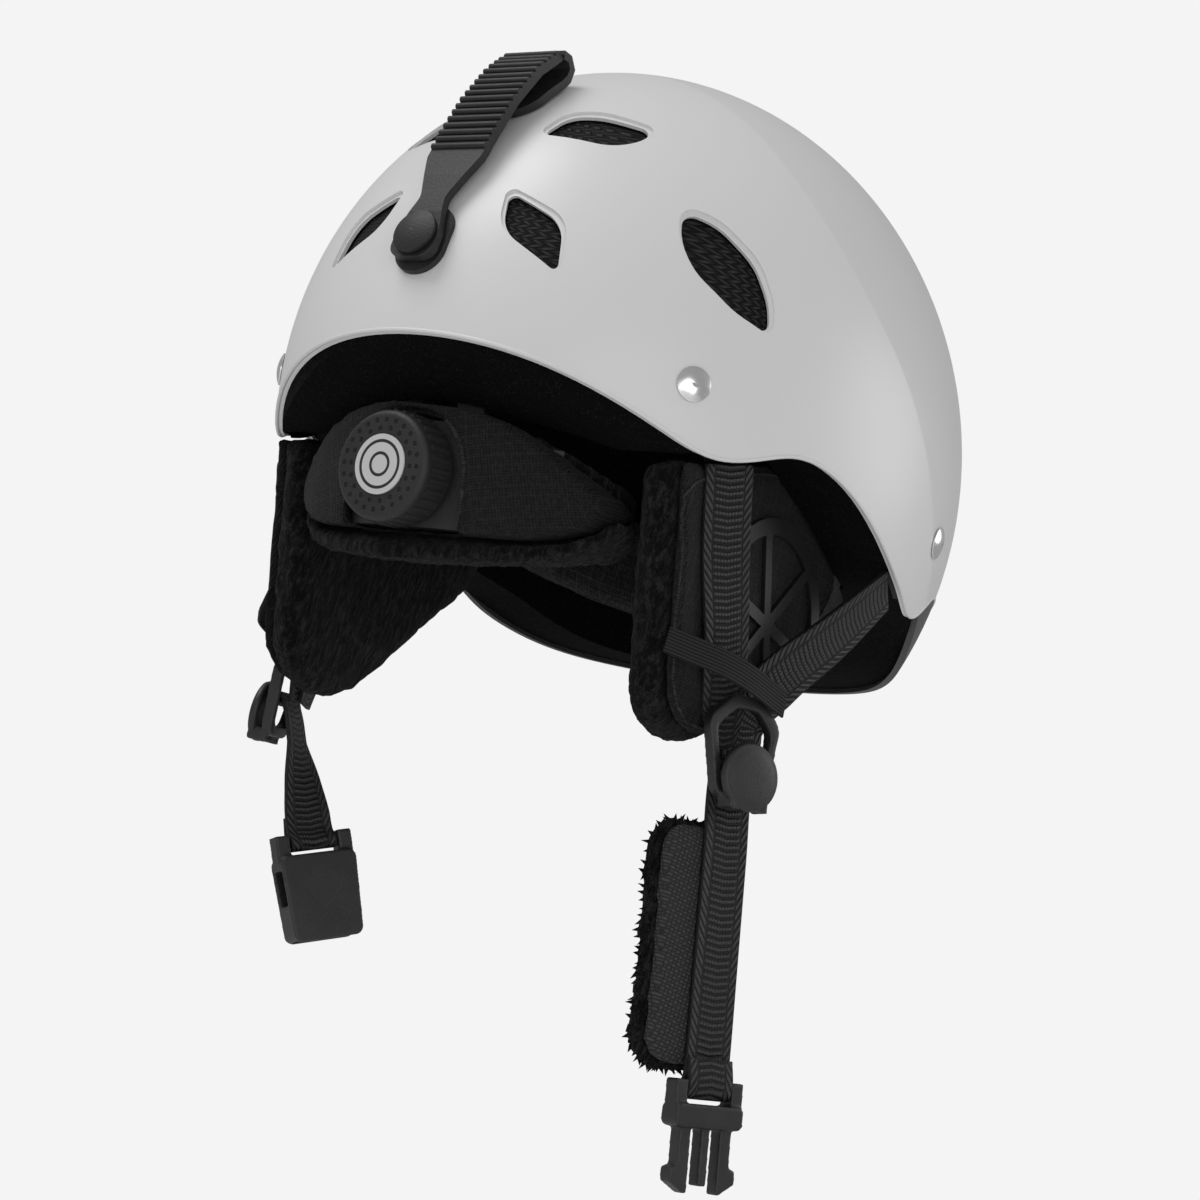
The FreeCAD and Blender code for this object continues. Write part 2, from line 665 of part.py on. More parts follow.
def harness():
    """The two webbing legs that meet at the divider, and the elastic that holds them to the flap."""
    sideways = Vector(-1, 0, 0)
    back = -(DIVIDER_THICKNESS / 2 + LEG_SET_BACK + WEBBING_THICKNESS / 2)
    rear_end = divider_point(-5.6, 6.6, back)
    front_end = divider_point(4.4, 6.6, back - WEBBING_THICKNESS - FRONT_LEG_GAP)
    rear = [REAR_EXIT, rear_end + REAR_LEG_BEND, rear_end]
    rear_leg = ribbon(rear, WEBBING_WIDTH, WEBBING_THICKNESS, sideways)
    export_pair("rear_webbing", rear_leg.cut(at_divider(divider_plate(WEBBING_GAP))))
    front_leg = ribbon([FRONT_EXIT, front_end], WEBBING_WIDTH, WEBBING_THICKNESS, sideways)
    room = 2 * WEBBING_GAP
    rear_leg_room = ribbon(rear, WEBBING_WIDTH + room, WEBBING_THICKNESS + room, sideways)
    export_pair("front_webbing", largest(front_leg.cut(rear_leg_room)))
    export_pair("flap_elastic", ribbon(ELASTIC_RUN, ELASTIC_WIDTH, ELASTIC_THICKNESS, sideways))


# --- divider, lever, chin straps and buckle --------------------------------------------------------------

def divider_plate(margin):
    half = DIVIDER_THICKNESS / 2 + margin
    return rounded_prism(grown(DIVIDER_OUTLINE, margin), DIVIDER_CORNER + margin, -half, half)


def divider_frame():
    """A rounded triangular loop with a cross bar that the chin strap hangs on."""
    half = DIVIDER_THICKNESS / 2
    body = divider_plate(0)
    opening = grown(DIVIDER_OUTLINE, -DIVIDER_BAR)
    window = rounded_prism(opening, DIVIDER_WINDOW_CORNER, -half - 1, half + 1)
    reach = DIVIDER_OUTLINE[3][0]
    bar_start = Vector(-reach, -CROSS_BAR_DROP, 0)
    bar = Part.makeCylinder(CROSS_BAR_RADIUS, 2 * reach, bar_start, Vector(1, 0, 0)).common(body)
    ear_y = (-LEVER_PIN_DROP - LEVER_PIN_RADIUS, -LEVER_PIN_DROP + LEVER_EAR_RISE)
    ears = []
    for sign in (-1, 1):
        low = sign * LEVER_PIN_REACH - LEVER_EAR_WIDTH / 2
        ears.append(box((low, low + LEVER_EAR_WIDTH), ear_y, (0, lever_pin_height() + LEVER_PIN_RADIUS)))
    return join([body.cut(window), bar, lever_pin(LEVER_PIN_RADIUS)] + ears)


def lever_pin_height():
    return DIVIDER_THICKNESS / 2 + LEVER_STAND_OFF + LEVER_THICKNESS / 2


def lever_pin(radius):
    start = Vector(-LEVER_PIN_REACH, -LEVER_PIN_DROP, lever_pin_height())
    return Part.makeCylinder(radius, 2 * LEVER_PIN_REACH, start, Vector(1, 0, 0))


def divider_lever():
    """The round cap that locks the strap; it lifts on a pin across the divider's lower end."""
    cap = domed_head(LEVER_RADIUS, LEVER_THICKNESS + 0.8, LEVER_THICKNESS - 0.4)
    cap.translate(Vector(0, -LEVER_CENTRE_DROP, DIVIDER_THICKNESS / 2 + LEVER_STAND_OFF))
    ear_room = []
    room_y = (-LEVER_PIN_DROP - REACH, -LEVER_PIN_DROP + LEVER_EAR_RISE + LEVER_GAP)
    for sign in (-1, 1):
        low = sign * LEVER_PIN_REACH - LEVER_EAR_WIDTH / 2 - LEVER_GAP
        ear_room.append(box((low, low + LEVER_EAR_WIDTH + 2 * LEVER_GAP), room_y, (0, REACH)))
    return largest(cut_all(cap, [lever_pin(LEVER_PIN_RADIUS + RIVET_CLEARANCE)] + ear_room))


def strap_back():
    """How far behind the divider's middle the chin webbing's front face hangs."""
    return DIVIDER_THICKNESS / 2 + LOOP_CLEARANCE


def webbing_tube(inner, y, z):
    """A loop of webbing round a bar that runs along X."""
    half = WEBBING_WIDTH / 2
    start = Vector(-half, y, z)
    outer = Part.makeCylinder(inner + WEBBING_THICKNESS, WEBBING_WIDTH, start, Vector(1, 0, 0))
    return outer.cut(Part.makeCylinder(inner, WEBBING_WIDTH, start, Vector(1, 0, 0)))


def webbing_middle():
    """The depth of the chin webbing's middle, behind the divider's own middle."""
    return -strap_back() - WEBBING_THICKNESS / 2


def turned_about_strap(shape, angle):
    """A shape turned about the hanging webbing's own length."""
    turned = shape.copy()
    turned.rotate(Vector(0, 0, webbing_middle()), Vector(0, 1, 0), angle)
    return turned


def twisted_run(twist):
    """Webbing that turns evenly about its length."""
    half_width = WEBBING_WIDTH / 2
    back = webbing_middle() - WEBBING_THICKNESS / 2
    front = webbing_middle() + WEBBING_THICKNESS / 2
    sections = []
    for step in range(TWIST_STEPS + 1):
        share = step / TWIST_STEPS
        y = -TWIST_RUN[0] - share * (TWIST_RUN[1] - TWIST_RUN[0])
        corners = [(-half_width, back), (half_width, back), (half_width, front), (-half_width, front)]
        points = [Vector(x, y, z) for x, z in corners + corners[:1]]
        sections.append(turned_about_strap(Part.makePolygon(points), share * twist))
    return Part.makeLoft(sections, True, True)


def hanging_strap(length, twist=0.0):
    """Chin webbing that hooks over the cross bar, hangs along -Y and loops round the buckle's bar."""
    front = strap_back()
    half = WEBBING_WIDTH / 2
    depth = (-front - WEBBING_THICKNESS, -front)
    hook = webbing_tube(front, 0, 0).common(box((-half, half), (0, REACH), (-REACH, CROSS_BAR_RADIUS)))
    bar_room = BUCKLE_BAR_RADIUS + LOOP_CLEARANCE
    loop_z = webbing_middle()
    hole_start = Vector(-half, -length, loop_z)
    bar_hole = Part.makeCylinder(bar_room, WEBBING_WIDTH, hole_start, Vector(1, 0, 0))
    loop = webbing_tube(bar_room, -length, loop_z)
    if not twist:
        return join([hook, box((-half, half), (-length, 0), depth).cut(bar_hole), loop])
    upper = box((-half, half), (-TWIST_RUN[0], 0), depth)
    lower = box((-half, half), (-length, -TWIST_RUN[1]), depth).cut(bar_hole)
    return join([hook, upper, twisted_run(twist), turned_about_strap(lower.fuse(loop), twist)])


def at_cross_bar(shape, swing=0.0):
    """A shape drawn round the cross bar, hanging along -Y, and swung inwards by an angle."""
    swung = shape.copy()
    swung.rotate(Vector(), Vector(1, 0, 0), swing)
    across, _, outward = divider_axes()
    return placed(swung, divider_point(0, -CROSS_BAR_DROP, 0), across, outward)


def buckle_bar(length, reach):
    start = Vector(-reach, -length, webbing_middle())
    return Part.makeCylinder(BUCKLE_BAR_RADIUS, 2 * reach, start, Vector(1, 0, 0))


def buckle_horns(width, middle_x, top, middle_z):
    """The two ears above a buckle half that carry its webbing bar."""
    half_depth = HORN_DEPTH / 2
    horns = []
    for sign in (-1, 1):
        low = sign * middle_x - width / 2
        horns.append(box((low, low + width), (top - HORN_ROOT, top + HORN_RISE),
                         (middle_z - half_depth, middle_z + half_depth)))
    return horns


def buckle_socket():
    """The socket half of a side-release buckle, open downwards and at its two sides."""
    top = -LEFT_STRAP_LENGTH - BUCKLE_BAR_RISE
    bottom = top - BUCKLE_LENGTH
    middle_z = webbing_middle()
    half_width = BUCKLE_WIDTH / 2
    half_depth = BUCKLE_THICKNESS / 2
    tip_half_width = half_width - BUCKLE_TAPER
    outline = [
        (-half_width, top), (half_width, top), (tip_half_width, bottom), (-tip_half_width, bottom),
    ]
    body = rounded_prism(outline, BUCKLE_CORNER, middle_z - half_depth, middle_z + half_depth)
    inner_x = tip_half_width - BUCKLE_WALL
    inner_z = half_depth - BUCKLE_WALL
    depth = (middle_z - inner_z, middle_z + inner_z)
    hollow = box((-inner_x, inner_x), (bottom - 1, top - BUCKLE_WALL), depth)
    slot_y = (top + BUCKLE_SLOT[0], top + BUCKLE_SLOT[1])
    side_slots = box((-BUCKLE_WIDTH, BUCKLE_WIDTH), slot_y, depth)
    horns = buckle_horns(HORN_WIDTH, half_width - HORN_WIDTH / 2, top, middle_z)
    bar = buckle_bar(LEFT_STRAP_LENGTH, half_width - HORN_WIDTH / 2)
    return join([cut_all(body, [hollow, side_slots]), bar] + horns)


def buckle_plug():
    """The plug half: a webbing bar, a shoulder and two springy prongs with a guide between them."""
    top = -RIGHT_STRAP_LENGTH - BUCKLE_BAR_RISE
    middle_z = webbing_middle()
    half_width = BUCKLE_WIDTH / 2 - BUCKLE_TAPER
    outline = [
        (-half_width, top), (half_width, top),
        (half_width, top - PLUG_SHOULDER), (-half_width, top - PLUG_SHOULDER),
    ]
    half_depth = PLUG_SHOULDER_DEPTH / 2
    shoulder = rounded_prism(outline, PLUG_SHOULDER_CORNER, middle_z - half_depth, middle_z + half_depth)
    parts = [shoulder, buckle_bar(RIGHT_STRAP_LENGTH, half_width - BUCKLE_TAPER)]
    parts += buckle_horns(PLUG_HORN_WIDTH, half_width - PLUG_HORN_WIDTH / 2, top, middle_z)
    root = top - PLUG_SHOULDER + 1
    parts += [plug_prong(sign, root, middle_z) for sign in (-1, 1)]
    half_prong = PRONG_THICKNESS / 2
    half_guide = PLUG_GUIDE_WIDTH / 2
    parts.append(box((-half_guide, half_guide), (root - PRONG_LENGTH + 3, root),
                     (middle_z - half_prong, middle_z + half_prong)))
    return join(parts)


def plug_prong(sign, root, middle_z):
    """A springy prong with a barb on its outer side."""
    tip = root - PRONG_LENGTH
    outer = sign * (BUCKLE_WIDTH / 2 - PRONG_INSET)
    inner = outer - sign * PRONG_WIDTH
    barb = outer + sign * PRONG_BARB
    outline = [
        (inner, root), (outer, root), (outer, tip + 9), (barb, tip + 8), (barb, tip + 4), (inner, tip),
    ]
    half = PRONG_THICKNESS / 2
    ordered = outline if sign < 0 else outline[::-1]
    return rounded_prism(ordered, PRONG_CORNER, middle_z - half, middle_z + half)


def chin_pad_outline(margin):
    half = CHIN_PAD_WIDTH / 2 + margin
    left, right = CHIN_PAD_OFFSET - half, CHIN_PAD_OFFSET + half
    top = -CHIN_PAD_TOP + margin
    bottom = -CHIN_PAD_TOP - CHIN_PAD_LENGTH - margin
    return [(left, top), (right, top), (right, bottom), (left, bottom)]


def chin_straps():
    """Left strap with the buckle's socket, and right strap with the plug and the chin pad."""
    swing = LEFT_STRAP_SWING
    twist = LEFT_STRAP_TWIST
    export("chin_strap_left", mirrored(at_cross_bar(hanging_strap(LEFT_STRAP_LENGTH, twist), swing)))
    socket = turned_about_strap(buckle_socket(), twist)
    export("buckle_socket", mirrored(at_cross_bar(socket, swing)))
    export("chin_strap_right", at_cross_bar(hanging_strap(RIGHT_STRAP_LENGTH)))
    export("buckle_plug", at_cross_bar(buckle_plug()))
    face_z = -strap_back() - WEBBING_THICKNESS - WEBBING_GAP
    back_z = face_z - CHIN_PAD_THICKNESS
    pad = rounded_prism(chin_pad_outline(0), CHIN_PAD_CORNER, back_z, face_z)
    fleece = rounded_prism(chin_pad_outline(CHIN_FLEECE_MARGIN), CHIN_PAD_CORNER + CHIN_FLEECE_MARGIN,
                           back_z - FLAP_LAYER_GAP - CHIN_FLEECE_THICKNESS, back_z - FLAP_LAYER_GAP)
    export("chin_pad", at_cross_bar(pad))
    export("chin_pad_lining", at_cross_bar(fleece))


# --- nape pad, cradle and dial ---------------------------------------------------------------------------

def nape_axes():
    tilt = math.radians(DIAL_TILT)
    outward = Vector(0, math.cos(tilt), -math.sin(tilt))
    up = Vector(0, math.sin(tilt), math.cos(tilt))
    return outward, up


def nape_origin():
    outward, _ = nape_axes()
    return DIAL_FACE - outward * (NAPE_RADIUS + DIAL_PROUD)


def at_nape(shape):
    """A shape drawn round the nape's upright axis, with X to the left, Y outwards and Z up."""
    _, up = nape_axes()
    return placed(shape, nape_origin(), Vector(1, 0, 0), up)


def arc_block(radii, heights, angles):
    """A curved bar between two radii, two heights and two angles, which run from +Y towards +X."""
    span = angles[1] - angles[0]
    height = heights[1] - heights[0]
    sectors = []
    for radius in radii:
        sector = Part.makeCylinder(radius, height, Vector(0, 0, heights[0]), Vector(0, 0, 1), span)
        sector.rotate(Vector(), Vector(0, 0, 1), 90 - angles[1])
        sectors.append(sector)
    return sectors[1].cut(sectors[0])


def rear_view_prism(outline):
    """A smooth closed outline in (X, Z), swept along Y."""
    wire = Part.Wire([smooth_edge([Vector(x, 0, z) for x, z in outline], closed=True)])
    return Part.Face(wire).extrude(Vector(0, REACH, 0))


def pad_inner_radius():
    return NAPE_RADIUS - NAPE_PAD_THICKNESS


def cradle_radii():
    outer = pad_inner_radius() - NAPE_GAP
    return outer - CRADLE_THICKNESS, outer


def housing_radii():
    inner = pad_inner_radius()
    return inner, inner + HOUSING_DEPTH


def rack_radii():
    inner, outer = housing_radii()
    middle = (inner + outer) / 2
    return middle - RACK_THICKNESS / 2, middle + RACK_THICKNESS / 2


def rack_heights():
    low = PINION_RADIUS - TOOTH_REACH
    return low, PINION_RADIUS + TOOTH_ROOT + RACK_HEIGHT


def rack_room(gap):
    """The curved slots that the two racks slide in."""
    radii = (rack_radii()[0] - gap, rack_radii()[1] + gap)
    low, high = rack_heights()
    reach = (RACK_ARC[0] - RACK_TRAVEL_ANGLE - 1, RACK_ARC[1] + RACK_TRAVEL_ANGLE + 1)
    upper = arc_block(radii, (low - gap, high + gap), reach)
    return upper, upper.copy().rotate(Vector(), Vector(0, 1, 0), 180)


def along_outward(radius, low, high):
    return Part.makeCylinder(radius, high - low, Vector(0, low, 0), Vector(0, 1, 0))


def nape_pad():
    slab = arc_block((pad_inner_radius(), NAPE_RADIUS), NAPE_SPAN, NAPE_SWEEP)
    body = slab.common(rear_view_prism(NAPE_OUTLINE))
    half = WINDOW_HALF_WIDTH
    outline = [(-half, WINDOW_TOP), (half, WINDOW_TOP), (half, -REACH), (-half, -REACH)]
    window = Part.Face(rounded_wire(outline, half * WINDOW_ROUNDNESS)).extrude(Vector(0, 0, REACH))
    window.rotate(Vector(), Vector(1, 0, 0), 90)
    window.translate(Vector(0, REACH + housing_radii()[1] - WINDOW_FLOOR, 0))
    gap = NAPE_GAP
    housing_room = arc_block((housing_radii()[0] - 9, housing_radii()[1] + gap),
                             (-HOUSING_HALF_HEIGHT - gap, HOUSING_HALF_HEIGHT + gap),
                             (-HOUSING_HALF_ANGLE - gap, HOUSING_HALF_ANGLE + gap))
    return largest(cut_all(body, [window, housing_room] + list(rack_room(RUNNING_GAP))))


def nape_lining():
    """Plush lining against the neck, with a border that wraps under the pad."""
    outline = rear_view_prism(NAPE_LINING_OUTLINE)
    outer = cradle_radii()[0] - NAPE_GAP
    lining = arc_block((outer - NAPE_LINING_THICKNESS, outer), NAPE_SPAN, NAPE_SWEEP).common(outline)
    border_span = (NAPE_SPAN[0], NAPE_BORDER_TOP)
    border = arc_block((outer - 0.5, NAPE_BORDER_RADIUS), border_span, NAPE_SWEEP).common(outline)
    border = border.cut(rear_view_prism(grown(NAPE_OUTLINE, NAPE_GAP)))
    room_span = (CRADLE_HEIGHT[0] - NAPE_GAP, NAPE_SPAN[1])
    room_sweep = (-CRADLE_HALF_ANGLE - 1, CRADLE_HALF_ANGLE + 1)
    cradle_room = arc_block((outer, cradle_radii()[1] + NAPE_GAP), room_span, room_sweep)
    return largest(lining.fuse(border).removeSplitter().cut(cradle_room))


def nape_cradle():
    """Plastic yoke behind the dial, with two tabs that rise to the fit band."""
    plate = arc_block(cradle_radii(), CRADLE_HEIGHT, (-CRADLE_HALF_ANGLE, CRADLE_HALF_ANGLE))
    rise = (CRADLE_HEIGHT[1] - 2, CRADLE_TAB_RISE)
    risers = [arc_block(cradle_radii(), rise, CRADLE_TAB_ANGLES)]
    risers.append(arc_block(cradle_radii(), rise, (-CRADLE_TAB_ANGLES[1], -CRADLE_TAB_ANGLES[0])))
    tab = box(CRADLE_TAB_X, (CRADLE_TAB_Y - CRADLE_THICKNESS, CRADLE_TAB_Y), CRADLE_TAB_Z)
    return join([at_nape(join([plate] + risers))] + both_sides(tab))


def dial_housing():
    inner, outer = housing_radii()
    block = arc_block((inner, outer), (-HOUSING_HALF_HEIGHT, HOUSING_HALF_HEIGHT),
                      (-HOUSING_HALF_ANGLE, HOUSING_HALF_ANGLE))
    chamber = along_outward(PINION_RADIUS + TOOTH_ROOT, inner + HOUSING_WALL, outer - HOUSING_WALL)
    bore = along_outward(PINION_SHAFT_RADIUS + RUNNING_GAP, inner + HOUSING_WALL, outer + 2)
    return at_nape(cut_all(block, [chamber, bore] + list(rack_room(RUNNING_GAP))))


def dial_base():
    return NAPE_RADIUS + DIAL_PROUD - DIAL_THICKNESS


def ring_of(count, radius):
    """Evenly spaced places (x, z) on a circle round the dial's axis."""
    return [(radius * math.cos(2 * math.pi * k / count), radius * math.sin(2 * math.pi * k / count))
            for k in range(count)]


def dial_knob():
    """Knurled rubber knob with two rings of dimples and a recess for its disc."""
    face = NAPE_RADIUS + DIAL_PROUD
    knob = along_outward(DIAL_RADIUS, dial_base(), face)
    edge = [e for e in knob.Edges if isinstance(e.Curve, Part.Circle) and e.CenterOfMass.y > face - 1]
    knob = knob.makeFillet(DIAL_EDGE_FILLET, edge)
    lugs = []
    for x, z in ring_of(DIAL_LUGS, DIAL_RADIUS - DIAL_LUG_RADIUS / 3):
        foot = Vector(x, dial_base() + 1, z)
        lugs.append(Part.makeCylinder(DIAL_LUG_RADIUS, DIAL_THICKNESS - 4.5, foot, Vector(0, 1, 0)))
    dimples = [Part.makeSphere(DIAL_DIMPLE_RADIUS, Vector(x, face, z))
               for radius, count in DIAL_DIMPLE_RINGS for x, z in ring_of(count, radius)]
    recess_floor = face - DIAL_DISC_THICKNESS + DIAL_DISC_PROUD
    recess = along_outward(DIAL_DISC_RADIUS + RIVET_CLEARANCE, recess_floor, face + 1)
    bore = along_outward(PINION_SHAFT_RADIUS + RUNNING_GAP / 4, dial_base() - 1, dial_base() + 6)
    return at_nape(knob.multiFuse(lugs).cut(Part.makeCompound(dimples)).cut(recess).cut(bore))


def dial_disc():
    top = NAPE_RADIUS + DIAL_PROUD + DIAL_DISC_PROUD
    return at_nape(along_outward(DIAL_DISC_RADIUS, top - DIAL_DISC_THICKNESS + 0.05, top))


def dial_pinion():
    """Toothed pinion that draws the racks together, with the shaft that the knob sits on."""
    inner, outer = housing_radii()
    low, high = rack_radii()
    hub = along_outward(PINION_RADIUS - TOOTH_ROOT, low - 0.4, high + 0.4)
    shaft = along_outward(PINION_SHAFT_RADIUS, high, dial_base() + 5.5)
    teeth = []
    for index in range(PINION_TEETH):
        tooth = box((0, PINION_RADIUS + TOOTH_REACH), (low, high), (-TOOTH_WIDTH / 2, TOOTH_WIDTH / 2))
        tooth.rotate(Vector(), Vector(0, 1, 0), 360 * index / PINION_TEETH)
        teeth.append(tooth)
    return at_nape(join([hub, shaft] + teeth))


def racks():
    """Two curved toothed straps, one above the pinion and one below it."""
    low, high = rack_heights()
    strap = arc_block(rack_radii(), (PINION_RADIUS + TOOTH_ROOT, high), RACK_ARC)
    middle_radius = sum(rack_radii()) / 2
    pitch = 360 * PINION_RADIUS / (PINION_TEETH * middle_radius)
    teeth = []
    half_tooth = math.degrees(TOOTH_WIDTH / 2 / middle_radius)
    first = math.ceil(RACK_ARC[0] / pitch)
    last = math.floor(RACK_ARC[1] / pitch)
    for index in range(first, last):
        angle = (index + 0.5) * pitch
        teeth.append(arc_block(rack_radii(), (low, PINION_RADIUS + TOOTH_ROOT + 0.2),
                               (angle - half_tooth, angle + half_tooth)))
    rack = join([strap] + teeth)
    export("fit_rack_left", at_nape(rack))
    export("fit_rack_right", at_nape(rack.copy().rotate(Vector(), Vector(0, 1, 0), 180)))


# --- fit band and comfort padding ----------------------------------------------------------------------

def cavity_layer(outer_inset, inner_inset):
    return cavity(outer_inset).cut(cavity(inner_inset))


def fit_band():
    band = cavity_layer(SEAT_GAP, SEAT_GAP + BAND_THICKNESS)
    return band.common(box((-REACH, REACH), (-REACH, REACH), BAND_HEIGHT))


def brow_pad():
    start = 2 * SEAT_GAP + BAND_THICKNESS
    pad = cavity_layer(start, start + BROW_PAD_THICKNESS)
    return pad.common(box((-REACH, REACH), (-REACH, BROW_PAD_REAR_Y), BROW_PAD_HEIGHT))


def crown_pad():
    pad = cavity_layer(SEAT_GAP, SEAT_GAP + TOP_PAD_THICKNESS)
    return pad.common(rounded_prism(CROWN_PAD_OUTLINE, PAD_CORNER, 0, REACH))


def rear_pad():
    pad = cavity_layer(SEAT_GAP, SEAT_GAP + TOP_PAD_THICKNESS)
    outline = rounded_prism(REAR_PAD_OUTLINE, PAD_CORNER, 0, REACH)
    return pad.common(placed(outline, Vector(), Vector(-1, 0, 0), Vector(0, 1, 0)))


# --- goggle strap retainer ---------------------------------------------------------------------------

def in_side_view(points):
    return [Vector(0, y, z) for y, z in points]


def front_view_prism(wire):
    """A flat outline in XY, stood up so that its Y is height, and swept through the rear of the helmet."""
    solid = Part.Face(wire).extrude(Vector(0, 0, REACH))
    solid.rotate(Vector(), Vector(1, 0, 0), 90)
    solid.translate(Vector(0, REACH, 0))
    return solid


def retainer_strap():
    """The ribbed rubber strap, from its fold at the top to the snap at its lower end."""
    crest = Vector(0, *RETAINER_CREST)
    half = RETAINER_WIDTH / 2
    run = [crest] + in_side_view(RETAINER_RUN)
    body = ribbon(run, RETAINER_WIDTH, RETAINER_THICKNESS, Vector(0, 1, 0))
    knuckle_start = crest - Vector(half, 0, 0)
    knuckle = Part.makeCylinder(RETAINER_THICKNESS / 2, RETAINER_WIDTH, knuckle_start, Vector(1, 0, 0))
    neck = RETAINER_NECK_WIDTH / 2
    end_y = SNAP_Z
    spread = RETAINER_END_RADIUS
    top = RETAINER_CREST[1] + 5
    outline = [
        (-half, top), (-half, RETAINER_RIB_END), (-neck, RETAINER_NECK_Z), (-spread, end_y + 1),
        (-spread, end_y - spread), (spread, end_y - spread), (spread, end_y + 1),
        (neck, RETAINER_NECK_Z), (half, RETAINER_RIB_END), (half, top),
    ]
    face = front_view_prism(rounded_wire(outline, RETAINER_CORNER))
    shape = join([body, knuckle] + retainer_ribs(run)).common(face)
    hole = Part.makeCylinder(SNAP_RADIUS + SNAP_ROOM, 30, Vector(0, 0, -10))
    return shape.cut(on_surface(hole, centre_frame(SNAP_Z)))


def retainer_ribs(run):
    """Small ridges across the strap, evenly spaced along its upper run."""
    line = Part.makePolygon(run)
    places = [p for p in line.discretize(240) if p.z > RETAINER_RIB_END + 2]
    ribs = []
    for index in range(RETAINER_RIB_COUNT):
        at = round((index + 0.5) / RETAINER_RIB_COUNT * (len(places) - 2))
        way = (places[at + 1] - places[at]).normalize()
        outward = Vector(0, -way.z, way.y)
        middle = places[at] + outward * (RETAINER_THICKNESS / 2 + RETAINER_RIB_RADIUS * 0.1)
        start = middle - Vector(RETAINER_WIDTH / 2, 0, 0)
        ribs.append(Part.makeCylinder(RETAINER_RIB_RADIUS, RETAINER_WIDTH, start, Vector(1, 0, 0)))
    return ribs


def retainer_anchor():
    """The strap's fold and tongue, which lie on the shell under the ribbed run."""
    crest = Vector(0, *RETAINER_CREST)
    way = (in_side_view(RETAINER_RUN)[0] - crest).normalize()
    start = crest - way * (RETAINER_THICKNESS / 2 + WEBBING_GAP)
    body = ribbon([start] + in_side_view(ANCHOR_FOLD), RETAINER_WIDTH, RETAINER_THICKNESS, Vector(0, 0, 1))
    half = RETAINER_WIDTH / 2
    outline = [(-half, REACH), (-half, ANCHOR_TIP_Z), (half, ANCHOR_TIP_Z), (half, REACH)]
    shape = body.common(front_view_prism(rounded_wire(outline, half * 0.9)))
    knuckle_room = Part.makeCylinder(RETAINER_THICKNESS / 2 + WEBBING_GAP, 2 * RETAINER_WIDTH,
                                     crest - Vector(RETAINER_WIDTH, 0, 0), Vector(1, 0, 0))
    return cut_all(shape, [on_surface(rivet_bore(), centre_frame(ANCHOR_RIVET_Z)), knuckle_room])


def retainer_cap():
    seat = (WEBBING_GAP + BASE_THICKNESS) + WEBBING_GAP + RETAINER_THICKNESS + WEBBING_GAP
    cap = domed_head(CAP_RADIUS, CAP_HEIGHT, CAP_HEIGHT * 0.45)
    cap.translate(Vector(0, 0, seat))
    return on_surface(cap, centre_frame(SNAP_Z))


def retainer_base():
    """The rubber tab on the shell that carries the snap's stud."""
    low, high = BASE_Z
    middle = (low + high) / 2
    half = (high - low) / 2
    outline = [(-BASE_RADIUS, half + BASE_RADIUS), (BASE_RADIUS, half + BASE_RADIUS),
               (BASE_RADIUS, -half - BASE_RADIUS), (-BASE_RADIUS, -half - BASE_RADIUS)]
    prism = on_surface(rounded_prism(outline, BASE_RADIUS * 0.97, -5, 12), centre_frame(middle))
    tab = layer(-WEBBING_GAP / 2 - BASE_THICKNESS, -WEBBING_GAP / 2).common(prism)
    return tab.cut(on_surface(rivet_bore(), centre_frame(SNAP_Z)))


def retainer_rivets():
    """The snap's stud at the lower end and the rivet that holds the tongue."""
    foot = Vector(0, 0, -RIVET_LENGTH)
    shank = Part.makeCylinder(RIVET_SHANK_RADIUS, RIVET_LENGTH + BASE_THICKNESS + 1, foot)
    stud = Part.makeCylinder(SNAP_RADIUS, 2.2, Vector(0, 0, BASE_THICKNESS + 2 * WEBBING_GAP))
    snap = on_surface(join([shank, stud]), centre_frame(SNAP_Z))
    head = domed_head(CAP_RADIUS * 0.62, 1.9, 0.6)
    head.translate(Vector(0, 0, RETAINER_THICKNESS + 3 * WEBBING_GAP))
    long_shank = Part.makeCylinder(RIVET_SHANK_RADIUS, RIVET_LENGTH + RETAINER_THICKNESS + 1.2, foot)
    return [snap, on_surface(join([long_shank, head]), centre_frame(ANCHOR_RIVET_Z))]


def main():
    os.makedirs("parts", exist_ok=True)
    export("outer_shell", outer_shell())
    export("eps_liner", eps_liner())
    export("front_brim", front_brim())
    vent_meshes()
    export("strap_rivets", strap_rivets())
    export("rivet_washers", rivet_washers())
    strap_ends()
    ear_flap()
    harness()
    export_pair("divider_frame", at_divider(divider_frame()))
    export_pair("divider_lever", at_divider(divider_lever()))
    chin_straps()
    export("nape_pad", at_nape(nape_pad()))
    export("nape_lining", at_nape(nape_lining()))
    export("nape_cradle", nape_cradle())
    export("dial_housing", dial_housing())
    export("dial_knob", dial_knob())
    export("dial_disc", dial_disc())
    export("dial_pinion", dial_pinion())
    racks()
    export("fit_band", fit_band())
    export("brow_pad", brow_pad())
    export("crown_pad", crown_pad())
    export("rear_pad", rear_pad())
    export("retainer_strap", retainer_strap())
    export("retainer_anchor", retainer_anchor())
    export("retainer_cap", retainer_cap())
    export("retainer_base", retainer_base())
    export("retainer_rivets", retainer_rivets())


main()
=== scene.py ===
"""Ski helmet: padding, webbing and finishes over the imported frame.

Laid out as an add-on and run as a script. Sizes in the property groups are metres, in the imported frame:
+Z up, -Y towards the face, +X towards the wearer's left.
"""

import math

import bmesh
import bpy
from bpy.props import FloatProperty, FloatVectorProperty, IntProperty, PointerProperty
from mathutils import Matrix, Vector, noise
from mathutils.bvhtree import BVHTree


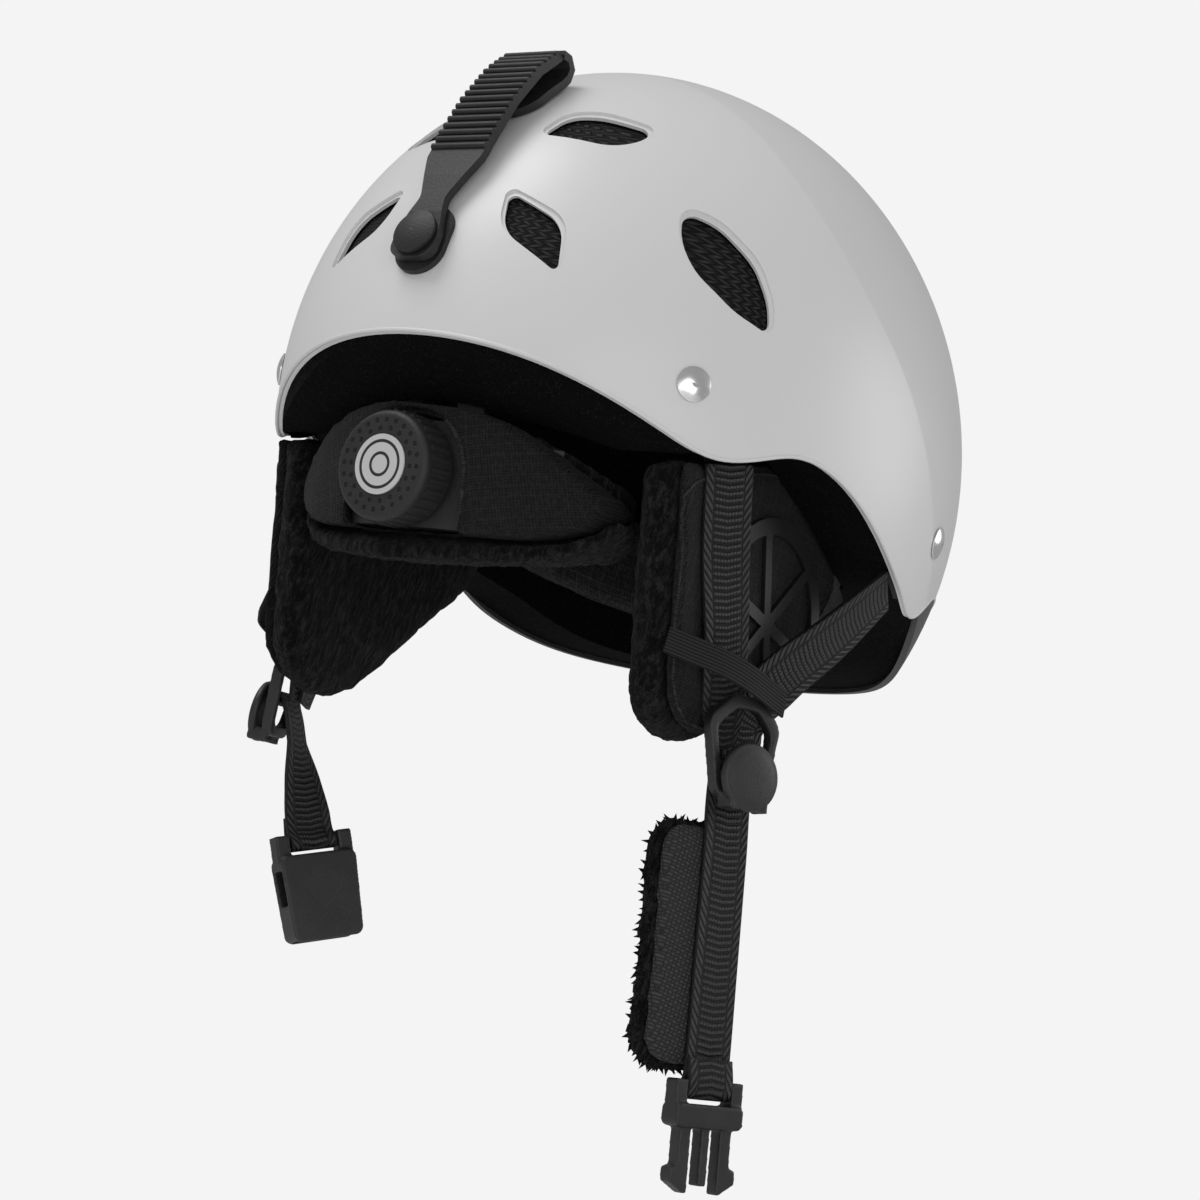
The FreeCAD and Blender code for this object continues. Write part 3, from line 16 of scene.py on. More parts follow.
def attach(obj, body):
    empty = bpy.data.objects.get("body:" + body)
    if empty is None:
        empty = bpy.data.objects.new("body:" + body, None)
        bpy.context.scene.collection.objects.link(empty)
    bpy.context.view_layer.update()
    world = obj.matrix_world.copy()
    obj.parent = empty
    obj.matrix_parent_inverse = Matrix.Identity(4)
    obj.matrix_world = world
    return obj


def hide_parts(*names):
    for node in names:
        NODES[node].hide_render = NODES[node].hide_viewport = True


bl_info = {
    "name": "Ski helmet",
    "version": (1, 0, 0),
    "blender": (4, 5, 0),
    "location": "View3D > Sidebar > Helmet",
    "description": "Soft parts and finishes of a ski helmet",
    "category": "Object",
}

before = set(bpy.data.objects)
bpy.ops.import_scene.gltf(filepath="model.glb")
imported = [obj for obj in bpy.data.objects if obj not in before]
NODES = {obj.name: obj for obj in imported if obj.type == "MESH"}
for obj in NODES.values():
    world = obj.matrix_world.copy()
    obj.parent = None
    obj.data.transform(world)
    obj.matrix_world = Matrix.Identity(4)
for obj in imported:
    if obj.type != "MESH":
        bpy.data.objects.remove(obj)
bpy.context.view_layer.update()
MM = 0.001
SIDES = ("right", "left")


# --- sizes and colours -------------------------------------------------------------------------------

class ShellLook(bpy.types.PropertyGroup):
    colour: FloatVectorProperty(
        name="Shell colour", description="Satin paint of the hard shell", subtype="COLOR", size=3,
        default=(0.76, 0.76, 0.765), min=0, max=1)
    trim_colour: FloatVectorProperty(
        name="Front edge colour", description="Plastic of the front edge", subtype="COLOR", size=3,
        default=(0.055, 0.056, 0.058), min=0, max=1)
    crease: FloatProperty(
        name="Crease", description="How sharply the shell's side turns at its crease, as a slope",
        default=0.06, min=0, max=0.3)


class SoftLook(bpy.types.PropertyGroup):
    fleece_colour: FloatVectorProperty(
        name="Fleece colour", description="Plush lining", subtype="COLOR", size=3,
        default=(0.0065, 0.0065, 0.0068), min=0, max=1)
    cloth_colour: FloatVectorProperty(
        name="Ripstop colour", description="Ripstop outer cloth", subtype="COLOR", size=3,
        default=(0.0085, 0.0085, 0.009), min=0, max=1)
    ripstop_pitch: FloatProperty(
        name="Ripstop pitch", description="Distance between the thicker threads", unit="LENGTH",
        default=0.0033, min=0.001, max=0.02)
    voxel: FloatProperty(
        name="Pad grain", description="Mesh size that the pads are sewn at", unit="LENGTH",
        default=0.003, min=0.001, max=0.01)
    pressure: FloatProperty(
        name="Stuffing", description="Pressure that fills the pads", default=4.0, min=0, max=20)
    tuft: FloatProperty(
        name="Tuft size", description="Size of the plush's clumps", unit="LENGTH",
        default=0.0032, min=0.0005, max=0.02)


class WebbingLook(bpy.types.PropertyGroup):
    colour: FloatVectorProperty(
        name="Webbing colour", description="Harness webbing", subtype="COLOR", size=3,
        default=(0.019, 0.019, 0.0195), min=0, max=1)
    width: FloatProperty(
        name="Webbing width", description="Width of the harness webbing", unit="LENGTH",
        default=0.0172, min=0.005, max=0.03)
    thickness: FloatProperty(
        name="Webbing thickness", description="Thickness of the harness webbing", unit="LENGTH",
        default=0.0014, min=0.0005, max=0.004)
    pitch: FloatProperty(
        name="Rib pitch", description="Distance between the webbing's ribs", unit="LENGTH",
        default=0.0021, min=0.0005, max=0.01)
    steps: IntProperty(
        name="Steps", description="Stations between two named places on the webbing",
        default=10, min=2, max=40)


# --- shader maths --------------------------------------------------------------------------------------

class Value:
    """A number that varies over a surface; arithmetic on it adds Math nodes."""

    def __init__(self, finish, socket):
        self.finish = finish
        self.socket = socket

    def _math(self, operation, *others):
        return self.finish.node("ShaderNodeMath", {"operation": operation}, [self, *others])

    def __add__(self, other):
        return self._math("ADD", other)

    def __radd__(self, other):
        return self._math("ADD", other)

    def __sub__(self, other):
        return self._math("SUBTRACT", other)

    def __rsub__(self, other):
        return self.finish.node("ShaderNodeMath", {"operation": "SUBTRACT"}, [other, self])

    def __mul__(self, other):
        return self._math("MULTIPLY", other)

    def __rmul__(self, other):
        return self._math("MULTIPLY", other)

    def __truediv__(self, other):
        return self._math("DIVIDE", other)

    def __neg__(self):
        return self._math("MULTIPLY", -1.0)

    def __abs__(self):
        return self._math("ABSOLUTE")

    def sine(self):
        return self._math("SINE")

    def floor(self):
        return self._math("FLOOR")

    def fraction(self):
        return self._math("FRACT")

    def at_least(self, low):
        return self._math("MAXIMUM", low)

    def at_most(self, high):
        return self._math("MINIMUM", high)

    def ramp(self, low, high):
        """0 at low, 1 at high, and smooth between."""
        return self.finish.node(
            "ShaderNodeMapRange", {"interpolation_type": "SMOOTHSTEP"},
            {"Value": self, "From Min": low, "From Max": high, "To Min": 0.0, "To Max": 1.0})


class Finish:
    """A material made of nodes round one Principled shader."""

    def __init__(self, name, **settings):
        self.material = bpy.data.materials.new(name)
        self.material.use_nodes = True
        self.tree = self.material.node_tree
        self.shader = self.tree.nodes["Principled BSDF"]
        for key, value in settings.items():
            self.shader.inputs[key.replace("_", " ")].default_value = value
        where = self.tree.nodes.new("ShaderNodeTexCoord")
        self.place = Value(self, where.outputs["Object"])
        self.uv = Value(self, where.outputs["UV"])

    def node(self, kind, settings=None, inputs=(), output=0):
        made = self.tree.nodes.new(kind)
        for key, value in (settings or {}).items():
            setattr(made, key, value)
        pairs = inputs.items() if isinstance(inputs, dict) else enumerate(inputs)
        for key, value in pairs:
            self.put(made.inputs[key], value)
        return Value(self, made.outputs[output])

    def put(self, socket, value):
        if isinstance(value, Value):
            self.tree.links.new(value.socket, socket)
        else:
            socket.default_value = value

    def axes(self, vector=None):
        split = self.tree.nodes.new("ShaderNodeSeparateXYZ")
        self.put(split.inputs[0], vector or self.place)
        return [Value(self, out) for out in split.outputs]

    def noise(self, scale, detail=2.0, rough=0.5, vector=None):
        return self.node(
            "ShaderNodeTexNoise", {}, {"Vector": vector or self.place, "Scale": scale, "Detail": detail,
                                       "Roughness": rough})

    def cells(self, scale, feature="F1", vector=None):
        return self.node(
            "ShaderNodeTexVoronoi", {"feature": feature}, {"Vector": vector or self.place, "Scale": scale})

    def mix(self, amount, first, second):
        made = self.tree.nodes.new("ShaderNodeMix")
        made.data_type = "RGBA"
        self.put(made.inputs[0], amount)
        self.put(made.inputs[6], first if isinstance(first, Value) else (*first, 1.0))
        self.put(made.inputs[7], second if isinstance(second, Value) else (*second, 1.0))
        return Value(self, made.outputs[2])

    def colour(self, value):
        self.put(self.shader.inputs["Base Color"], value if isinstance(value, Value) else (*value, 1.0))
        return self

    def rough(self, value):
        self.put(self.shader.inputs["Roughness"], value)
        return self

    def bump(self, height, distance, strength=1.0):
        """Height is a number from 0 to 1 that stands for a distance in metres."""
        bump = self.tree.nodes.new("ShaderNodeBump")
        bump.inputs["Strength"].default_value = strength
        bump.inputs["Distance"].default_value = distance
        self.put(bump.inputs["Height"], height)
        self.tree.links.new(bump.outputs["Normal"], self.shader.inputs["Normal"])
        return self


def shade(colour, factor):
    return tuple(min(1.0, part * factor) for part in colour)


def shell_paint(look):
    """Satin paint, with the turn of the shell's crease, painted shade on the side beyond it, and a faint
    orange peel.
    """
    paint = Finish("shell_paint", Coat_Weight=0.12, Coat_Roughness=0.3)
    _, y, z = paint.axes()
    height = (z + 0.020) / 0.150
    curve = paint.tree.nodes.new("ShaderNodeFloatCurve")
    paint.put(curve.inputs["Value"], height)
    points = curve.mapping.curves[0].points
    crease_line = [(0.0, 0.03), (0.273, 0.47), (0.467, 0.76), (0.693, 0.925), (1.0, 0.96)]
    points[0].location = crease_line[0]
    points[1].location = crease_line[-1]
    for at in crease_line[1:-1]:
        points.new(*at)
    curve.mapping.update()
    crease_y = Value(paint, curve.outputs[0]) * 0.136 - 0.052
    ahead = (crease_y - y).at_least(-0.004)
    soft = ahead.ramp(-0.0015, 0.0015) * ahead
    peel = paint.noise(900.0, 2.0)
    paint.bump(soft * (-look.crease * 100) + peel * 0.0012, 0.01)
    # Painted shade: beyond the crease the shell's side is painted a little darker, for the shade on the
    # side turned from the light.
    paint.colour(paint.mix(ahead.ramp(-0.001, 0.002) * 0.5, look.colour, shade(look.colour, 0.93)))
    return paint.rough(0.34 + peel * 0.08)


def trim_plastic(look):
    trim = Finish("front_edge_plastic")
    grain = trim.noise(1400.0, 3.0)
    trim.colour(trim.mix(grain, shade(look.trim_colour, 0.85), shade(look.trim_colour, 1.2)))
    return trim.rough(0.42 + grain * 0.1).bump(grain, 0.00012)


def felt():
    """Black flocked cover of the foam, with pale specks."""
    cover = Finish("flocked_foam", Specular_IOR_Level=0.08)
    clumps = cover.noise(420.0, 4.0, 0.7)
    speck = cover.cells(1500.0)
    fibre = speck.ramp(0.45, 0.15) * clumps.ramp(0.42, 0.62)
    cover.colour(cover.mix(fibre, (0.0030, 0.0030, 0.0032), (0.030, 0.030, 0.0305)))
    return cover.rough(0.95).bump(clumps + fibre * 0.6, 0.0009)


def knit():
    """Spacer knit: rows of slanted loops, with painted shade in the gaps between them."""
    mesh = Finish("spacer_knit", Specular_IOR_Level=0.15)
    x, y, z = mesh.axes()
    row = (z * 1.1 + y * 0.25 - x * 0.1) / 0.0017
    lean = abs((row * 0.5).fraction() - 0.5) * 2.0
    along = (y - x * 0.8) / 0.0015 + lean * 0.9
    loop = abs((along * math.pi).sine()).ramp(0.35, 0.9)
    gap = abs((row * math.pi).sine()).ramp(0.1, 0.5)
    thread = mesh.noise(2600.0, 3.0)
    height = loop * gap
    # Painted shade: the colour follows the relief, near-black in the low gaps between the loops; the thread
    # noise is the yarn's own uneven tone.
    mesh.colour(mesh.mix((height * 0.8 + thread * 0.25 - 0.05).at_most(1.0), (0.0015, 0.0015, 0.0016),
                         (0.040, 0.040, 0.041)))
    return mesh.rough(0.7).bump(height + thread * 0.2, 0.0009)


def fleece(look):
    """Deep plush: short upright tufts, with painted highlights on their tips and painted shade at their
    roots.
    """
    plush = Finish("plush_fleece", Sheen_Weight=0.05, Sheen_Roughness=0.35, Specular_IOR_Level=0.14)
    upright = plush.node("ShaderNodeMapping", {}, {"Vector": plush.place, "Scale": (1.0, 1.0, 0.36)})
    clump = plush.noise(560.0, 4.0, 0.62, upright)
    hair = plush.noise(1900.0, 3.0, 0.7, upright)
    broad = plush.noise(90.0, 2.0)
    # Painted highlight and shade: the clumps' tips are painted pale and their roots dark, for light on the
    # pile; the broad noise varies the tips at random.
    tip_highlight = (clump * 0.62 + hair * 0.38).ramp(0.45, 0.64) * (0.35 + broad * 1.3)
    root_shade_colour, tip_highlight_colour = shade(look.fleece_colour, 0.25), shade(look.fleece_colour, 4.2)
    plush.colour(plush.mix(tip_highlight.at_most(1.0), root_shade_colour, tip_highlight_colour))
    return plush.rough(0.9).bump(clump + hair * 0.45, 0.0024)


def ripstop(look, name, colour, turn=(0.0, 0.0, 0.0), plain_axis="x"):
    """Fine weave with a square grid of thicker threads, drawn across one axis of the piece; the raised
    threads carry painted highlights and the gaps painted shade.
    """
    cloth = Finish(name, Sheen_Weight=0.03, Sheen_Roughness=0.4, Specular_IOR_Level=0.22)
    turned = cloth.node("ShaderNodeMapping", {}, {"Vector": cloth.place, "Rotation": turn})
    x, y, z = cloth.axes(turned)
    first, second = {"x": (y, z), "y": (x, z)}[plain_axis]
    thread = 0.0009
    warp = abs((first * (math.pi / thread)).sine())
    weft = abs((second * (math.pi / thread)).sine())
    weave = warp * weft
    grid = [((axis / look.ripstop_pitch).fraction() - 0.5) for axis in (first, second)]
    rib = [1 - abs(side).ramp(0.0, 0.075) for side in grid]
    ribs = rib[0].at_least(0.0) + rib[1] - rib[0] * rib[1]
    slub = cloth.noise(700.0, 3.0)
    # Painted highlight: the weave's crossings and the thicker rip threads are painted pale, with painted
    # shade between them; the slub term is the yarn's own uneven tone.
    pale = weave * 0.32 + ribs * 0.42 + slub.ramp(0.4, 0.75) * 0.3
    cloth.colour(cloth.mix(pale.at_most(1.0), shade(colour, 0.3), shade(colour, 3.6)))
    return cloth.rough(0.74).bump(weave * 0.5 + ribs * 0.6 + slub * 0.4, 0.0006)


def canvas():
    """Grey-black plain canvas of the chin pad, with painted highlights on its thread crossings."""
    cloth = Finish("chin_canvas", Specular_IOR_Level=0.2)
    x, y, z = cloth.axes()
    pitch = 0.00115
    along = (z * 1.04 / pitch)
    across = ((y * 0.93 - x * 0.36) / pitch)
    over = abs((along * math.pi).sine()) * abs((across * math.pi).sine())
    check = ((along.floor() + across.floor()) * 0.5).fraction()
    slub = cloth.noise(900.0, 3.0)
    # Painted highlight: the thread crowns are painted lighter; the checker and slub terms are the cloth's
    # own uneven tone.
    cloth.colour(cloth.mix((over * 0.6 + check * 0.5 + slub * 0.3).at_most(1.0), (0.008, 0.008, 0.008),
                           (0.075, 0.075, 0.076)))
    return cloth.rough(0.85).bump(over + check * 0.3, 0.0004)


def woven(look):
    """Webbing with ribs across it and braided edges, the raised ribs and braids painted lighter as painted
    highlights and the grooves darker as painted shade; U is across in metres, V is along in metres.
    """
    web = Finish("harness_webbing", Specular_IOR_Level=0.35)
    u, v, _ = web.axes(web.uv)
    half = look.width / 2
    border = (abs(u) - (half - 0.0034)) / 0.0034
    selvage = border.ramp(-0.04, 0.06)
    bow = abs(u) * 0.14
    rib = abs(((v + bow) / look.pitch * math.pi).sine()).ramp(0.15, 0.95)
    yarn = abs((u / 0.00115 * math.pi).sine())
    middle = rib * (0.62 + yarn * 0.38)
    braid = abs(((v / 0.0030 + abs(u) / 0.0020) * math.pi).sine()).ramp(0.1, 0.9)
    strand = braid * (1 - abs(border - 0.52).ramp(0.30, 0.52))
    groove = 1 - abs(border + 0.02).ramp(0.0, 0.14)
    height = (middle * (1 - selvage) + strand * selvage) * (1 - groove * 0.8)
    fibre = web.noise(2600.0, 3.0)
    # Painted highlight and shade: the colour follows the relief, pale on the ribs and braids and near-black
    # in the grooves by the edges; the fibre noise is the yarn's own tone.
    web.colour(web.mix((height * 0.85 + fibre * 0.2).at_most(1.0), shade(look.colour, 0.10),
                       shade(look.colour, 2.1)))
    return web.rough(0.58 - height * 0.12).bump(height + fibre * 0.12, 0.0011)


def elastic():
    band = Finish("elastic_band", Specular_IOR_Level=0.25)
    u, v, _ = band.axes(band.uv)
    cord = abs((u * (math.pi / 0.0011)).sine())
    cross = abs((v * (math.pi / 0.0009)).sine())
    # Painted highlight: the crowns of the lengthwise cords are painted lighter than the troughs between
    # them.
    band.colour(band.mix(cord, (0.004, 0.004, 0.004), (0.030, 0.030, 0.031)))
    return band.rough(0.7).bump(cord + cross * 0.15, 0.0005)


def moulded(name, colour, rough, grain=1100.0, depth=0.00012):
    """Moulded rubber or plastic, with a fine spark-eroded grain and rubbed high spots."""
    part = Finish(name)
    fine = part.noise(grain, 3.0)
    broad = part.noise(60.0, 2.0)
    part.colour(part.mix(broad.ramp(0.35, 0.65), shade(colour, 0.82), shade(colour, 1.2)))
    return part.rough(rough + fine * 0.12 - 0.05).bump(fine, depth)


def ringed_disc():
    """Light centre of the dial, with one plain dark ring."""
    disc = Finish("light_disc")
    centre = tuple(mm(0, 121, -70))
    shifted = disc.node("ShaderNodeVectorMath", {"operation": "SUBTRACT"}, [disc.place, centre])
    turned = disc.node("ShaderNodeMapping", {}, {"Vector": shifted, "Rotation": (math.radians(18), 0, 0)})
    x, _, z = disc.axes(turned)
    reach = disc.node("ShaderNodeMath", {"operation": "SQRT"}, [x * x + z * z])
    ring = (1 - (abs(reach - 0.0074)).ramp(0.0004, 0.0006)) + (1 - abs(reach - 0.0035).ramp(0.0004, 0.0006))
    grain = disc.noise(900.0, 2.0)
    disc.colour(disc.mix(ring.at_most(1.0), (0.60, 0.60, 0.60), (0.02, 0.02, 0.02)))
    return disc.rough(0.35 + grain * 0.05).bump(grain, 0.00004)


def metal(name, colour, rough):
    part = Finish(name, Metallic=1.0)
    brushed = part.noise(300.0, 4.0)
    part.colour(part.mix(brushed, shade(colour, 0.85), shade(colour, 1.08)))
    return part.rough(rough + brushed * 0.12).bump(brushed, 0.00003)


FINISHES = {}


def finish(name, *arguments):
    """The finish of that name, made once."""
    makers = {
        "shell": lambda: shell_paint(bpy.context.scene.helmet_shell),
        "trim": lambda: trim_plastic(bpy.context.scene.helmet_shell),
        "felt": felt,
        "knit": knit,
        "fleece": lambda: fleece(bpy.context.scene.helmet_soft),
        "flap_cloth": lambda: ripstop(
            bpy.context.scene.helmet_soft, "flap_ripstop", bpy.context.scene.helmet_soft.cloth_colour,
            (math.radians(8), 0, 0)),
        "nape_cloth": lambda: ripstop(
            bpy.context.scene.helmet_soft, "nape_ripstop", bpy.context.scene.helmet_soft.cloth_colour,
            (math.radians(18), math.radians(-12), 0), "y"),
        "pad_cloth": lambda: ripstop(
            bpy.context.scene.helmet_soft, "pad_cloth", (0.022, 0.022, 0.023), (0, 0, 0), "y"),
        "canvas": canvas,
        "webbing": lambda: woven(bpy.context.scene.helmet_webbing),
        "elastic": elastic,
        "rubber": lambda: moulded("soft_rubber", (0.014, 0.014, 0.0145), 0.55),
        "badge": lambda: moulded("badge_rubber", (0.0085, 0.0085, 0.009), 0.5),
        "buckle": lambda: moulded("textured_nylon", (0.019, 0.019, 0.0195), 0.42, 2600.0, 0.0001),
        "inner_nylon": lambda: moulded("plain_nylon", (0.020, 0.020, 0.021), 0.5),
        "disc": ringed_disc,
        "rivet": lambda: metal("bright_rivet", (0.86, 0.86, 0.87), 0.14),
        "dark_metal": lambda: metal("dark_snap", (0.05, 0.05, 0.052), 0.16),
        "washer": lambda: metal("washer_steel", (0.55, 0.55, 0.56), 0.3),
    }
    if name not in FINISHES:
        FINISHES[name] = makers[name]().material
    return FINISHES[name]


def dress(node, name):
    """Gives a kept part of the frame its finish."""
    data = NODES[node].data
    data.materials.clear()
    data.materials.append(finish(name))


# --- mesh helpers ----------------------------------------------------------------------------------------

def piece(name, mesh, body, slot, *materials):
    """A new piece on a body, with its finishes."""
    thing = bpy.data.objects.new(name, mesh)
    bpy.context.scene.collection.objects.link(thing)
    mesh.materials.clear()
    for material in materials:
        mesh.materials.append(finish(material))
    for polygon in mesh.polygons:
        polygon.use_smooth = True
    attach(thing, body)
    return thing


def applied(thing):
    """The mesh that an object's modifiers give, as a mesh of its own."""
    graph = bpy.context.evaluated_depsgraph_get()
    graph.update()
    return bpy.data.meshes.new_from_object(thing.evaluated_get(graph))


def with_modifier(mesh, kind, **settings):
    """A mesh after one modifier."""
    thing = bpy.data.objects.new("working", mesh)
    bpy.context.scene.collection.objects.link(thing)
    modifier = thing.modifiers.new("step", kind)
    for key, value in settings.items():
        setattr(modifier, key, value)
    result = applied(thing)
    bpy.data.objects.remove(thing)
    return result


def merged_copy(nodes, cuts=()):
    """One welded mesh from kept nodes, after cutting away what lies behind each (point, normal) plane."""
    work = bmesh.new()
    for node in nodes:
        work.from_mesh(NODES[node].data)
    bmesh.ops.remove_doubles(work, verts=work.verts, dist=1e-6)
    for point, normal in cuts:
        geometry = work.verts[:] + work.edges[:] + work.faces[:]
        cut = bmesh.ops.bisect_plane(work, geom=geometry, plane_co=point, plane_no=normal, clear_outer=True)
        rim = [item for item in cut["geom_cut"] if isinstance(item, bmesh.types.BMEdge)]
        bmesh.ops.holes_fill(work, edges=rim)
    mesh = bpy.data.meshes.new("sewn")
    work.to_mesh(mesh)
    work.free()
    return mesh


def eased(mesh, inset, passes):
    """Rounds a mesh's corners and draws it in by a distance."""
    work = bmesh.new()
    work.from_mesh(mesh)
    for _ in range(passes):
        bmesh.ops.smooth_vert(
            work, verts=work.verts, factor=0.5, use_axis_x=True, use_axis_y=True, use_axis_z=True)
    work.normal_update()
    for vertex in work.verts:
        vertex.co -= vertex.normal * inset
    work.to_mesh(mesh)
    work.free()
    return mesh


def stuffed(mesh, pressure, cap):
    """Fills a closed mesh like a cushion by a short cloth run, with a cap on how far a point may move."""
    scene = bpy.context.scene
    start = [vertex.co.copy() for vertex in mesh.vertices]
    thing = bpy.data.objects.new("stuffing", mesh)
    scene.collection.objects.link(thing)
    cloth = thing.modifiers.new("Cloth", "CLOTH")
    cloth.settings.quality = 4
    cloth.settings.mass = 0.3
    cloth.settings.tension_stiffness = 12
    cloth.settings.bending_stiffness = 0.4
    cloth.settings.use_pressure = True
    cloth.settings.uniform_pressure_force = pressure
    cloth.settings.effector_weights.gravity = 0
    cloth.collision_settings.use_collision = False
    cloth.point_cache.frame_start = 1
    cloth.point_cache.frame_end = 20
    for number in range(1, 21):
        scene.frame_set(number)
    result = applied(thing)
    scene.frame_set(1)
    bpy.data.objects.remove(thing)
    for vertex, origin in zip(result.vertices, start):
        shift = vertex.co - origin
        if shift.length > cap:
            vertex.co = origin + shift.normalized() * cap
    return result


def pad_mesh(nodes, cuts=(), grain=1.0, inset=1.4, swell=1.4, passes=3, levels=1):
    """A stuffed pad from the room that its nodes hold."""
    look = bpy.context.scene.helmet_soft
    mesh = merged_copy(nodes, cuts)
    mesh = with_modifier(mesh, "REMESH", mode="VOXEL", voxel_size=look.voxel * grain)
    mesh = eased(mesh, inset * MM, passes)
    mesh = stuffed(mesh, look.pressure, swell * MM)
    if levels:
        mesh = with_modifier(mesh, "SUBSURF", levels=levels, render_levels=levels)
    return mesh


def plush(mesh, depth):
    """Raises a pad's surface into soft upright clumps."""
    size = bpy.context.scene.helmet_soft.tuft
    mesh.update()
    normals = [vertex.normal.copy() for vertex in mesh.vertices]
    for vertex, normal in zip(mesh.vertices, normals):
        at = Vector((vertex.co.x, vertex.co.y, vertex.co.z * 0.45)) / size
        clump = noise.noise(at) + 0.6 * noise.noise(at * 2.1)
        vertex.co += normal * (depth * clump)
    return mesh


def creased(mesh, depth, size):
    """Pulls a cloth face into slight puckers."""
    mesh.update()
    normals = [vertex.normal.copy() for vertex in mesh.vertices]
    for vertex, normal in zip(mesh.vertices, normals):
        vertex.co += normal * (depth * noise.noise(vertex.co / size))
    return mesh


def other_side(mesh):
    """The left-hand copy of a right-hand mesh."""
    work = bmesh.new()
    work.from_mesh(mesh)
    bmesh.ops.scale(work, vec=(-1, 1, 1), verts=work.verts)
    bmesh.ops.reverse_faces(work, faces=work.faces)
    copy = bpy.data.meshes.new(mesh.name + "_left")
    work.to_mesh(copy)
    work.free()
    return copy


def smooth_path(points, closed, count):
    """Evenly numbered places along a smooth line through some points."""
    curve = bpy.data.curves.new("path", "CURVE")
    curve.dimensions = "3D"
    curve.resolution_u = count
    spline = curve.splines.new("BEZIER")
    spline.bezier_points.add(len(points) - 1)
    for knot, at in zip(spline.bezier_points, points):
        knot.co = at
        knot.handle_left_type = "AUTO"
        knot.handle_right_type = "AUTO"
    spline.use_cyclic_u = closed
    thing = bpy.data.objects.new("path", curve)
    bpy.context.scene.collection.objects.link(thing)
    mesh = applied(thing)
    places = [vertex.co.copy() for vertex in mesh.vertices]
    bpy.data.objects.remove(thing)
    return places


def spaced(places, gap, closed):
    """Places a fixed gap apart along a line of points."""
    line = places + places[:1] if closed else places
    result = [line[0].copy()]
    left = gap
    for first, second in zip(line, line[1:]):
        step = (second - first).length
        along = 0.0
        while step - along >= left:
            along += left
            result.append(first.lerp(second, along / step))
            left = gap
        left -= step - along
    return result


def tube_mesh(places, radius, closed, sides=8):
    """A round cord along a line of points."""
    curve = bpy.data.curves.new("piping", "CURVE")
    curve.dimensions = "3D"
    curve.bevel_depth = radius
    curve.bevel_resolution = max(1, sides // 4)
    curve.use_fill_caps = not closed
    spline = curve.splines.new("POLY")
    spline.points.add(len(places) - 1)
    for knot, at in zip(spline.points, places):
        knot.co = (*at, 1.0)
    spline.use_cyclic_u = closed
    thing = bpy.data.objects.new("piping", curve)
    bpy.context.scene.collection.objects.link(thing)
    mesh = applied(thing)
    bpy.data.objects.remove(thing)
    return mesh


def laid_on(mesh, places, direction, lift):
    """Places dropped along a direction onto a mesh, and lifted off it a little."""
    tree = BVHTree.FromPolygons([v.co for v in mesh.vertices], [p.vertices for p in mesh.polygons])
    way = Vector(direction).normalized()
    result = []
    for place in places:
        hit, _, _, _ = tree.ray_cast(place - way * 0.06, way)
        if hit is None:
            hit, _, _, _ = tree.find_nearest(place)
        result.append(hit - way * lift)
    return result


def wisp_mesh(mesh, gap, reach, flat_way):
    """Small pointed tufts round the rim of a plush pad, where its surface faces away from flat_way."""
    mesh.update()
    flat = Vector(flat_way).normalized()
    work = bmesh.new()
    taken = []
    for vertex in mesh.vertices:
        outward = vertex.normal
        if abs(outward.dot(flat)) > 0.55 or any((vertex.co - at).length < gap for at in taken):
            continue
        taken.append(vertex.co.copy())
        stir = Vector((noise.noise(vertex.co * 900), noise.noise(vertex.co * 900 + flat * 5),
                       noise.noise(vertex.co * 900 + flat * 9)))
        way = (outward + stir * 1.5).normalized()
        length = reach * (0.65 + 0.6 * abs(noise.noise(vertex.co * 1500)))
        turn = way.to_track_quat("Z", "Y").to_matrix().to_4x4()
        middle = vertex.co + way * (length * 0.22)
        bmesh.ops.create_cone(
            work, cap_ends=True, segments=5, radius1=reach * 0.26, radius2=0.0, depth=length,
            matrix=Matrix.Translation(middle) @ turn)
    result = bpy.data.meshes.new("wisps")
    work.to_mesh(result)
    work.free()
    return result


def stitch_mesh(places, direction, length=2.4, thick=0.42):
    """A row of small thread stitches along some places."""
    work = bmesh.new()
    normal = Vector(direction).normalized()
    for first, second in zip(places, places[1:]):
        way = (second - first).normalized()
        side = normal.cross(way).normalized()
        turn = Matrix((way, side, way.cross(side))).transposed().to_4x4()
        sizes = Matrix.Diagonal((length * MM / 2, thick * MM / 2, thick * MM / 2, 1.0))
        bmesh.ops.create_icosphere(
            work, subdivisions=1, radius=1.0,
            matrix=Matrix.Translation(first.lerp(second, 0.5)) @ turn @ sizes)
    mesh = bpy.data.meshes.new("stitches")
    work.to_mesh(mesh)
    work.free()
    return mesh


